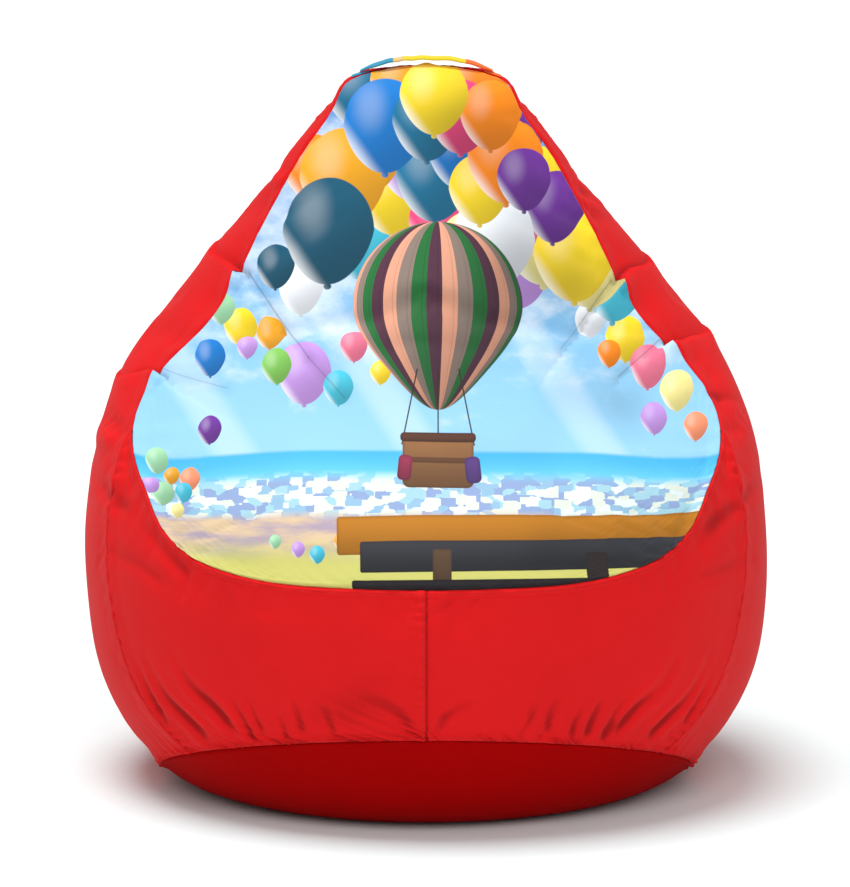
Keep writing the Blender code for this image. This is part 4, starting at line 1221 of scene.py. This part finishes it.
def stitches(name, places):
    """Short threads: two sunk tips and three rings of four points each, one thread per stitch."""
    middle, along, outward = (np.concatenate(values) for values in zip(*places))
    across = unit(np.cross(outward, along))
    spine = middle[:, None] + along[:, None] * (STITCH_LENGTH * THREAD_SHARES[:, None])
    spine = spine + outward[:, None] * THREAD_LIFTS[:, None]
    turn = np.arange(4) * math.pi / 2
    circle = across[:, None] * np.cos(turn)[:, None] + outward[:, None] * np.sin(turn)[:, None]
    rings = spine[:, 1:4, None] + circle[:, None] * THREAD_RADII[1:4, None, None]
    points = np.concatenate([rings.reshape(len(middle), 12, 3), spine[:, [0, 4]]], 1)
    sides = grid_faces(3, 4, wrap=True)
    first = [(12, (i + 1) % 4, i, i) for i in range(4)]
    last = [(13, 8 + i, 8 + (i + 1) % 4, 8 + (i + 1) % 4) for i in range(4)]
    pattern = np.concatenate([sides, first, last])
    faces = (pattern[None] + 14 * np.arange(len(middle))[:, None, None]).reshape(-1, 4).tolist()
    faces = [face if face[2] != face[3] else face[:3] for face in faces]
    return mesh_object(name, points, faces)


def spun_thread(name, colour):
    """Polyester sewing thread: a soft sheen, a fine twist and small changes of shade."""
    made, t, shader = new_material(name, 0.55, 0.15, specular=0.3)
    place = t.place()
    twist = t.noise(t.vector("MULTIPLY", place, (1, 1, 1.6)), 2600.0, 2.0)
    tone = t.math("MULTIPLY_ADD", twist, 0.5, 0.72)
    t.paint(shader, t.plain(colour), tone)
    t.bump(shader, twist, 0.4, 0.0002)
    return made


def cover_stitches():
    """All of the cover's stitches as one piece."""
    by_name = {panel.name: panel for panel in PANELS}
    lines = [sewn_line(by_name[name], side, distance) for name, side, distance in SEWN_LINES]
    places = [stitch_places(*line) for line in lines]
    thread = spun_thread("red_thread", srgb(186, 14, 17))
    sewn(stitches("cover_stitches", places), "bag", None, thread)


# Inner bag and filling -----------------------------------------------------------------------------

LINER_DEPTH = 0.0125                # depth of the inner bag under the cover's surface
FILL_DEPTH = 0.0170                 # and of the beads
LINER_SEAM = 2.2                    # ring of the inner bag's base seam
LINER_SLOT = (8.2, 8.4, 11.4, 11.6) # rings between which its zip lies
LINER_SLOT_HALF = 0.0060
LINER_LAY = LINER_DEPTH + 0.0008    # depth of the cloth's outer face


def inner_half(mirror):
    """Half of the inner bag: angle from the front to the zip at the back, ring from base seam to top."""
    s, t = np.linspace(0, 1, 96), np.linspace(0, 1, 150)
    v = LINER_SEAM + t * (TOP - 0.03 - LINER_SEAM)
    slot = np.interp(v, LINER_SLOT, (0, LINER_SLOT_HALF, LINER_SLOT_HALF, 0))
    points, normals = bag_surface((math.pi - slot / half_width(v))[:, None] * s, v[:, None])
    foot = arc_lengths(points, 0)
    ripple = 0.0006 * wave(arc_lengths(points, 1), 0.02, 2.0) * np.exp(-foot / 0.02)
    shaped = points - normals * (LINER_LAY + 0.0012 * np.exp(-((foot / 0.003) ** 2)) - ripple)[..., None]
    if mirror < 0:
        shaped = (shaped * (-1, 1, 1))[:, ::-1]
    return shaped


def inner_bag(finish):
    """The lining bag: two halves with the zip between them at the back, and a round base."""
    for side, mirror in (("left", -1), ("right", 1)):
        shaped = inner_half(mirror)
        uv = laid_out(shaped)
        piece = mesh_object(f"inner_cloth_{side}", shaped, grid_faces(*shaped.shape[:2]), {"Cloth": uv})
        sewn(wall(piece, INNER_CLOTH), "bag", f"inner_bag_{side}", finish)
    rows, columns = 40, 180
    phi = np.linspace(0, 2 * np.pi, columns, endpoint=False)
    points, normals = bag_surface(phi, (np.linspace(0.03, 1, rows) * LINER_SEAM)[:, None])
    shaped = points - normals * LINER_LAY
    faces = grid_faces(rows, columns, wrap=True).tolist() + pole_faces(0, rows * columns, columns)
    everything = np.concatenate([shaped.reshape(-1, 3), [[0, 0, LINER_LAY]]])
    piece = mesh_object("inner_base_cloth", everything, faces, {"Cloth": everything[:, :2]})
    sewn(wall(piece, INNER_CLOTH), "bag", "inner_bag_base", finish)


def foam_beads(name):
    """White foam beads pressed together: round cells, darker towards their edges as a painted shade of the
    gaps between them.
    """
    made, t, shader = new_material(name, 0.6, specular=0.3)
    place = t.place()
    cells = t.add("ShaderNodeTexVoronoi", {"Vector": place, "Scale": 240.0})
    shade = t.ramp(cells.outputs["Distance"], 0.25, 0.85, 1.0, 0.55)
    tint = t.mix(t.math("MULTIPLY", t.noise(place, 60.0), 0.4), srgb(246, 246, 243), srgb(226, 226, 222))
    t.paint(shader, tint, shade)
    height = t.ramp(cells.outputs["Distance"], 0.0, 0.8, 1.0, 0.0)
    t.bump(shader, height, 0.8, 0.0015)
    return made


def bead_filling():
    """The filling as one closed body: rings of the bag's surface moved inwards, closed at two poles."""
    columns, rows = 300, 260
    phi = np.linspace(0, 2 * np.pi, columns, endpoint=False)
    v = np.concatenate([np.linspace(0.05, 1, 30)[:-1], np.linspace(1, TOP - 0.25, rows - 29)])
    points, normals = bag_surface(phi, v[:, None])
    x, y, z = np.moveaxis(points, -1, 0)
    lumps = 0.0005 * np.sin(1400 * x + 900 * z) * np.sin(1300 * y - 700 * z)
    shaped = points - normals * (FILL_DEPTH - lumps)[..., None]
    faces = grid_faces(rows, columns, wrap=True).tolist() + pole_faces(0, rows * columns, columns)
    faces += pole_faces((rows - 1) * columns, rows * columns + 1, columns, upward=True)
    poles = [[0, 0, FILL_DEPTH], shaped[-1].mean(0) + [0, 0, 0.001]]
    piece = mesh_object("bead_filling", np.concatenate([shaped.reshape(-1, 3), poles]), faces)
    sewn(piece, "bag", "bead_fill", foam_beads("foam_beads"))


# Zips: everything lies on arcs about the X axis through the back's centre ---------------------------

ZIP_TAPE = 0.0006
ZIP_TAPE_INNER, ZIP_TAPE_OUTER = 0.0016, 0.0156
ZIP_TAPE_DEPTH = 0.0028
COIL_DEPTH = 0.0009
COIL_MIDDLE, COIL_HALF, COIL_RISE = 0.0021, 0.0019, 0.0010
COIL_PITCH = 0.0012
COIL_WIRE = 0.00033
STOP_CLEAR = 0.0016       # the coils end this far from the stops
TAPE_MARGIN = 0.022       # the tapes run on under the cover past the stops
LINER_ZIP_DEPTH = 0.0062


def on_arc(x, radius, turn):
    """Points at a distance from the back's centre line, at a turn above the level."""
    x, radius, turn = np.broadcast_arrays(x, radius, turn)
    y, z = BACK_CENTRE[0] + radius * np.cos(turn), BACK_CENTRE[1] + radius * np.sin(turn)
    return np.stack([x, y, z], -1) * FIT


def tube(name, path, up, radius, sides=5):
    """A round wire along a path: rings at right angles to it, closed at both ends."""
    forward = unit(np.gradient(path, axis=0))
    first = unit(np.cross(forward, up))
    second = np.cross(forward, first)
    turn = np.arange(sides) * 2 * np.pi / sides
    circle = first[:, None] * np.cos(turn)[:, None] + second[:, None] * np.sin(turn)[:, None]
    rings = path[:, None] + radius * circle
    faces = grid_faces(len(path), sides, wrap=True).tolist()
    last = (len(path) - 1) * sides
    faces.append(tuple(range(sides))[::-1])
    faces.append(tuple(range(last, last + sides)))
    return mesh_object(name, rings, faces)


def zip_tape(name, mirror, radius, turns):
    """A flat woven band that follows the back's arc, with a thicker cord along its inner edge."""
    x = mirror * np.linspace(ZIP_TAPE_INNER, ZIP_TAPE_OUTER, 13)
    if mirror > 0:
        x = x[::-1]
    turn = np.linspace(*turns, 200)[:, None]
    cord = 0.0003 * np.exp(-(((np.abs(x) - 0.0042) / 0.0009) ** 2))
    points = on_arc(x, radius + cord, turn)
    uv = np.stack(np.broadcast_arrays(x, radius * turn), -1)
    piece = mesh_object(name, points, grid_faces(200, 13), {"Cloth": uv})
    return wall(piece, ZIP_TAPE)


def zip_coil(name, mirror, radius, turns):
    """An oval nylon helix about the arc; the two sides are half a turn apart and mesh in the middle."""
    length = radius * (turns[1] - turns[0])
    steps = int(length / COIL_PITCH * 9)
    share = np.linspace(0, 1, steps)
    turn = turns[0] + share * (turns[1] - turns[0])
    wind = 2 * np.pi * share * length / COIL_PITCH + (math.pi if mirror > 0 else 0)
    x = mirror * (COIL_MIDDLE + COIL_HALF * np.cos(wind))
    path = on_arc(x, radius + COIL_RISE * np.sin(wind), turn)
    up = np.stack([0 * turn, -np.sin(turn), np.cos(turn)], -1)
    return tube(name, path, up, COIL_WIRE)


def nylon(name, colour):
    """Dyed nylon with small changes of shade and a slightly worn gloss."""
    made, t, shader = new_material(name, 0.42, specular=0.45)
    place = t.place()
    shade = t.math("MULTIPLY_ADD", t.noise(place, 300.0, 3.0), 0.35, 0.82)
    t.paint(shader, t.plain(colour), shade)
    t.tree.links.new(t.ramp(t.noise(place, 700.0, 2.0), 0.3, 0.7, 0.34, 0.55), shader.inputs["Roughness"])
    return made


def plated_zinc(name):
    """Plated zinc: fine brushing, dull patches where it is rubbed."""
    made, t, shader = new_material(name, 0.3, metallic=1.0)
    place = t.place()
    brush = t.noise(t.vector("MULTIPLY", place, (1.0, 1.0, 0.08)), 5200.0, 3.0)
    worn = t.noise(place, 260.0, 4.0, 0.6)
    tint = t.mix(t.ramp(worn, 0.4, 0.65), srgb(206, 206, 208), srgb(168, 164, 156))
    t.tree.links.new(tint, shader.inputs["Base Color"])
    rough = t.math("MULTIPLY_ADD", brush, 0.2, t.ramp(worn, 0.35, 0.7, 0.16, 0.38))
    t.tree.links.new(rough, shader.inputs["Roughness"])
    t.bump(shader, brush, 0.25, 0.0001)
    return made


def refinish(node, finish):
    """A CAD node that stays shown gets a detailed material."""
    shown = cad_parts[node]
    for material_slot in shown.material_slots:
        material_slot.material = finish


def zip_set(prefix, heights, surface, tape_finish, coil_finish):
    """Tapes and coils of one zip, on the same arcs as the CAD's."""
    stops = [math.asin((height - BACK_CENTRE[1]) / BACK_RADIUS) for height in heights]
    margin = TAPE_MARGIN / BACK_RADIUS
    clear = STOP_CLEAR / BACK_RADIUS
    tape_turns = stops[0] - margin, stops[1] + margin
    coil_turns = stops[0] + clear, stops[1] - clear
    for side, mirror in (("left", -1), ("right", 1)):
        tape = zip_tape(f"{prefix}_band_{side}", mirror, surface - ZIP_TAPE_DEPTH, tape_turns)
        sewn(tape, "bag", f"{prefix}_tape_{side}", tape_finish)
        teeth = zip_coil(f"{prefix}_helix_{side}", mirror, surface - COIL_DEPTH, coil_turns)
        sewn(teeth, "bag", f"{prefix}_coil_{side}", coil_finish)


def zips():
    """The cover's zip and the inner bag's, with their sliders, pull and stops refinished."""
    red_tape = woven_cloth("red_zip_tape", srgb(158, 14, 18), thread=0.0004, variation=0.12)
    plain_tape = woven_cloth("plain_zip_tape", srgb(222, 220, 212), thread=0.0004, variation=0.08)
    white_nylon = nylon("white_nylon", srgb(226, 224, 218))
    metal = plated_zinc("plated_zinc")
    zip_set("cover_zip", (0.185, 0.575), BACK_RADIUS, red_tape, nylon("red_nylon", srgb(176, 22, 26)))
    zip_set("inner_zip", (0.645, 0.80), BACK_RADIUS - LINER_ZIP_DEPTH, plain_tape, white_nylon)
    for node in ("cover_zip_slider", "cover_zip_pull", "cover_zip_bottom_stop", "cover_zip_top_stop"):
        refinish(node, metal)
    for node in ("inner_zip_slider", "inner_zip_bottom_stop", "inner_zip_top_stop"):
        refinish(node, white_nylon)


# Handle and label ----------------------------------------------------------------------------------

HANDLE_Y, HANDLE_Z = 0.168, 0.9105
HANDLE_SPAN = 0.088
HANDLE_RISE = 0.0180
HANDLE_WIDTH, HANDLE_END_WIDTH = 0.028, 0.010
HANDLE_THICKNESS = 0.002
HANDLE_LEVEL = 2.6         # power that flattens the middle of the band's arch
BAND_LAY = 0.0008          # the band's outer face lies this far above the arch
# colour of the band from its left end to its right end, and where each starts along X
BAND_COLOURS = ((-0.100, srgb(40, 150, 185)), (-0.044, srgb(236, 196, 120)), (-0.030, srgb(238, 212, 20)),
                (0.052, srgb(245, 110, 30)))


def printed_band():
    """The band carries on the panel's picture: broad patches of balloon colours along its length."""
    made, t, shader = new_material("printed_band", 0.72, 0.1, specular=0.25)
    uv = t.uv("Cloth")
    weave = cloth_bump(t, shader, uv, 0.0007, 0.3)
    place = t.place()
    x = t.parts(place)[0]
    colour = t.plain(BAND_COLOURS[0][1])
    for start, tint in BAND_COLOURS[1:]:
        colour = t.mix(t.ramp(x, start - 0.0012, start + 0.0012), colour, tint)
    across = t.parts(uv)[1]
    # darker along both edges, where they curl down, and in the weave's gaps: painted shade
    edge = t.ramp(t.math("ABSOLUTE", across), 0.0098, 0.0108, 1.0, 0.86)
    tone = t.math("MULTIPLY", t.math("MULTIPLY_ADD", weave, 0.08, 0.94), edge)
    t.paint(shader, colour, tone)
    return made


def carry_handle(finish):
    """A flat band along an arch: x by its share of the span, height 1 - |share|^HANDLE_LEVEL.

    Its width is eased at its ends, and its edges have thin hems and curl down a little.
    """
    along = np.linspace(-1, 1, 141)[:, None]
    across = np.linspace(-1, 1, 17)
    narrow = ease((1 - np.abs(along)) / 0.25)
    half = (HANDLE_END_WIDTH + (HANDLE_WIDTH - HANDLE_END_WIDTH) * narrow) / 2
    x = HANDLE_SPAN * along + 0 * across
    y = HANDLE_Y + half * across
    hem = 0.0004 * np.exp(-(((np.abs(across) - 0.86) / 0.09) ** 2))
    curl = -0.0016 * np.abs(across) ** 3
    arch = HANDLE_RISE * (1 - np.abs(along) ** HANDLE_LEVEL)
    ripple = 0.0005 * wave(x, 0.03, 1.0) * (1 - along**8)
    z = HANDLE_Z + BAND_LAY + arch + hem + curl + ripple
    points = np.stack([x, y, z], -1) * FIT
    uv = np.stack([arc_lengths(points, 0), half * across], -1)
    piece = mesh_object("handle_band", points[:, ::-1], grid_faces(141, 17), {"Cloth": uv[:, ::-1]})
    wall(piece, HANDLE_THICKNESS * 0.9)
    sewn(piece, "handle", "carry_handle", finish)


def handle_ends(finish):
    """The band's ends, sewn down flat on the cover at both sides of the top."""
    for side, mirror in (("left", -1), ("right", 1)):
        phi = np.radians(np.linspace(85, 99, 24))
        v = np.linspace(14.95, 15.28, 20)[:, None]
        points, normals = bag_surface(phi, v)
        shaped = points + normals * 0.0016
        if mirror < 0:
            shaped = (shaped * (-1, 1, 1))[:, ::-1]
        uv = np.stack([arc_lengths(shaped, 0), arc_lengths(shaped, 1) - 0.006], -1)
        piece = mesh_object(f"handle_patch_{side}", shaped, grid_faces(20, 24), {"Cloth": uv})
        wall(piece, COVER_CLOTH)
        sewn(piece, "bag", f"handle_end_{side}", finish)


def label_satin():
    """Blank white satin ribbon with fine cross ribs."""
    made, t, shader = new_material("label_satin", 0.45, 0.2, specular=0.4)
    uv = t.uv("Cloth")
    v = t.parts(uv)[1]
    ribs = t.math("SINE", t.math("MULTIPLY", v, 2 * math.pi / 0.0006))
    # the ribs' tone follows their bump: painted shade between the ribs
    tone = t.math("MULTIPLY_ADD", ribs, 0.03, 0.95)
    soft = t.mix(t.noise(uv, 300.0), srgb(240, 240, 236), srgb(222, 222, 216))
    t.paint(shader, soft, tone)
    t.bump(shader, ribs, 0.3, 0.0002)
    return made


LABEL_HEIGHTS = (0.150, 0.205)
LABEL_WIDTH = 0.036


def care_label():
    """A blank ribbon let into the left back seam; it follows the back panel's cloth."""
    panel = next(panel for panel in PANELS if panel.name == "back_panel_left")
    rows, columns = panel.points.shape[:2]
    heights = panel.points[:, -1, 2]
    row = np.interp(np.linspace(*LABEL_HEIGHTS, 26), heights, np.arange(rows))
    reach = panel.gaps["start"][1][int(row.mean())][::-1]
    column = columns - 1 - np.interp(np.linspace(0, LABEL_WIDTH, 22), reach, np.arange(columns))
    low_row, low_column = np.minimum(row.astype(int), rows - 2), np.clip(column.astype(int), 0, columns - 2)
    up, right = (row - low_row)[:, None, None], (column - low_column)[None, :, None]

    def at(grid):
        a, b = grid[low_row][:, low_column], grid[low_row][:, low_column + 1]
        c, d = grid[low_row + 1][:, low_column], grid[low_row + 1][:, low_column + 1]
        return (a * (1 - right) + b * right) * (1 - up) + (c * (1 - right) + d * right) * up

    lift = 0.0016 + 0.003 * np.linspace(0, 1, 22) ** 2
    shaped = (at(panel.points) + at(panel.normals) * lift[None, :, None])[:, ::-1]
    uv = laid_out(shaped)
    piece = mesh_object("blank_label", shaped, grid_faces(26, 22), {"Cloth": uv})
    sewn(wall(piece, 0.0004), "bag", "care_label", label_satin())


cover_stitches()
inner_bag(woven_cloth("inner_cotton", srgb(228, 225, 216), thread=0.0007, variation=0.08))
bead_filling()
zips()
BAND = printed_band()
carry_handle(BAND)
handle_ends(BAND)
care_label()

# Camera, floor and light ---------------------------------------------------------------------------

IMAGE_WIDTH, IMAGE_HEIGHT = 850, 887
LENS = 400.0
SENSOR = 36.0
OBJECT_SHARE = 0.803       # the bag's width as a share of the picture's width
AIM_HEIGHT = 0.4716        # as a share of the bag's height
RIGHTWARD = 0.002          # the bag stands this far right of the middle, in metres


def look_at(obj, target):
    """Turns a camera or light, without tilting it, to face a point."""
    x, y, z = np.array(target) - np.array(obj.location)
    obj.rotation_euler = (math.pi / 2 + math.atan2(z, math.hypot(x, y)), 0, math.atan2(-x, y))


def camera():
    """A long lens aimed near the bag's middle and looking down by CAMERA_TILT."""
    width = CAD_HIGH[0] - CAD_LOW[0]
    sensor = SENSOR * IMAGE_WIDTH / IMAGE_HEIGHT
    distance = width / OBJECT_SHARE * LENS / sensor
    data = bpy.data.cameras.new("camera")
    data.lens = LENS
    data.sensor_fit = "VERTICAL"
    data.sensor_height = SENSOR
    made = bpy.data.objects.new("camera", data)
    bpy.context.scene.collection.objects.link(made)
    aim = np.array([-RIGHTWARD, 0.0, AIM_HEIGHT * (CAD_HIGH[2] - CAD_LOW[2])])
    made.location = aim + distance * np.array([0, -math.cos(CAMERA_TILT), math.sin(CAMERA_TILT)])
    look_at(made, aim)
    bpy.context.scene.camera = made


def sun(name, direction, strength, spread):
    """Even light from one direction, softened over an angle in degrees."""
    data = bpy.data.lights.new(name, "SUN")
    data.energy = strength
    data.angle = math.radians(spread)
    made = bpy.data.objects.new(name, data)
    bpy.context.scene.collection.objects.link(made)
    made.location = direction
    look_at(made, (0, 0, 0))


def floor():
    """A wide plain pale floor with a faint grain."""
    corners = np.array([[-40, -30, 0], [40, -30, 0], [40, 60, 0], [-40, 60, 0]], float)
    made = mesh_object("floor", corners, [(0, 1, 2, 3)])
    finish, t, shader = new_material("pale_floor", 0.9, specular=0.05)
    place = t.place()
    grain = t.noise(place, 40.0, 2.0)
    t.tree.links.new(t.mix(grain, (0.80, 0.90, 0.90), (0.82, 0.92, 0.92)), shader.inputs["Base Color"])
    made.data.materials.append(finish)
    made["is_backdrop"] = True


def light():
    """A white room, a broad soft light from overhead and a weaker one from the front."""
    world = bpy.data.worlds.new("studio")
    world.use_nodes = True
    world.node_tree.nodes["Background"].inputs[0].default_value = (1, 1, 1, 1)
    world.node_tree.nodes["Background"].inputs[1].default_value = 0.42
    bpy.context.scene.world = world
    bpy.context.scene.view_settings.view_transform = "Standard"
    sun("overhead", (-0.30, 0.10, 1.9), 2.3, 32)
    sun("front", (0.2, -1.5, 1.2), 1.0, 45)


camera()
floor()
light()
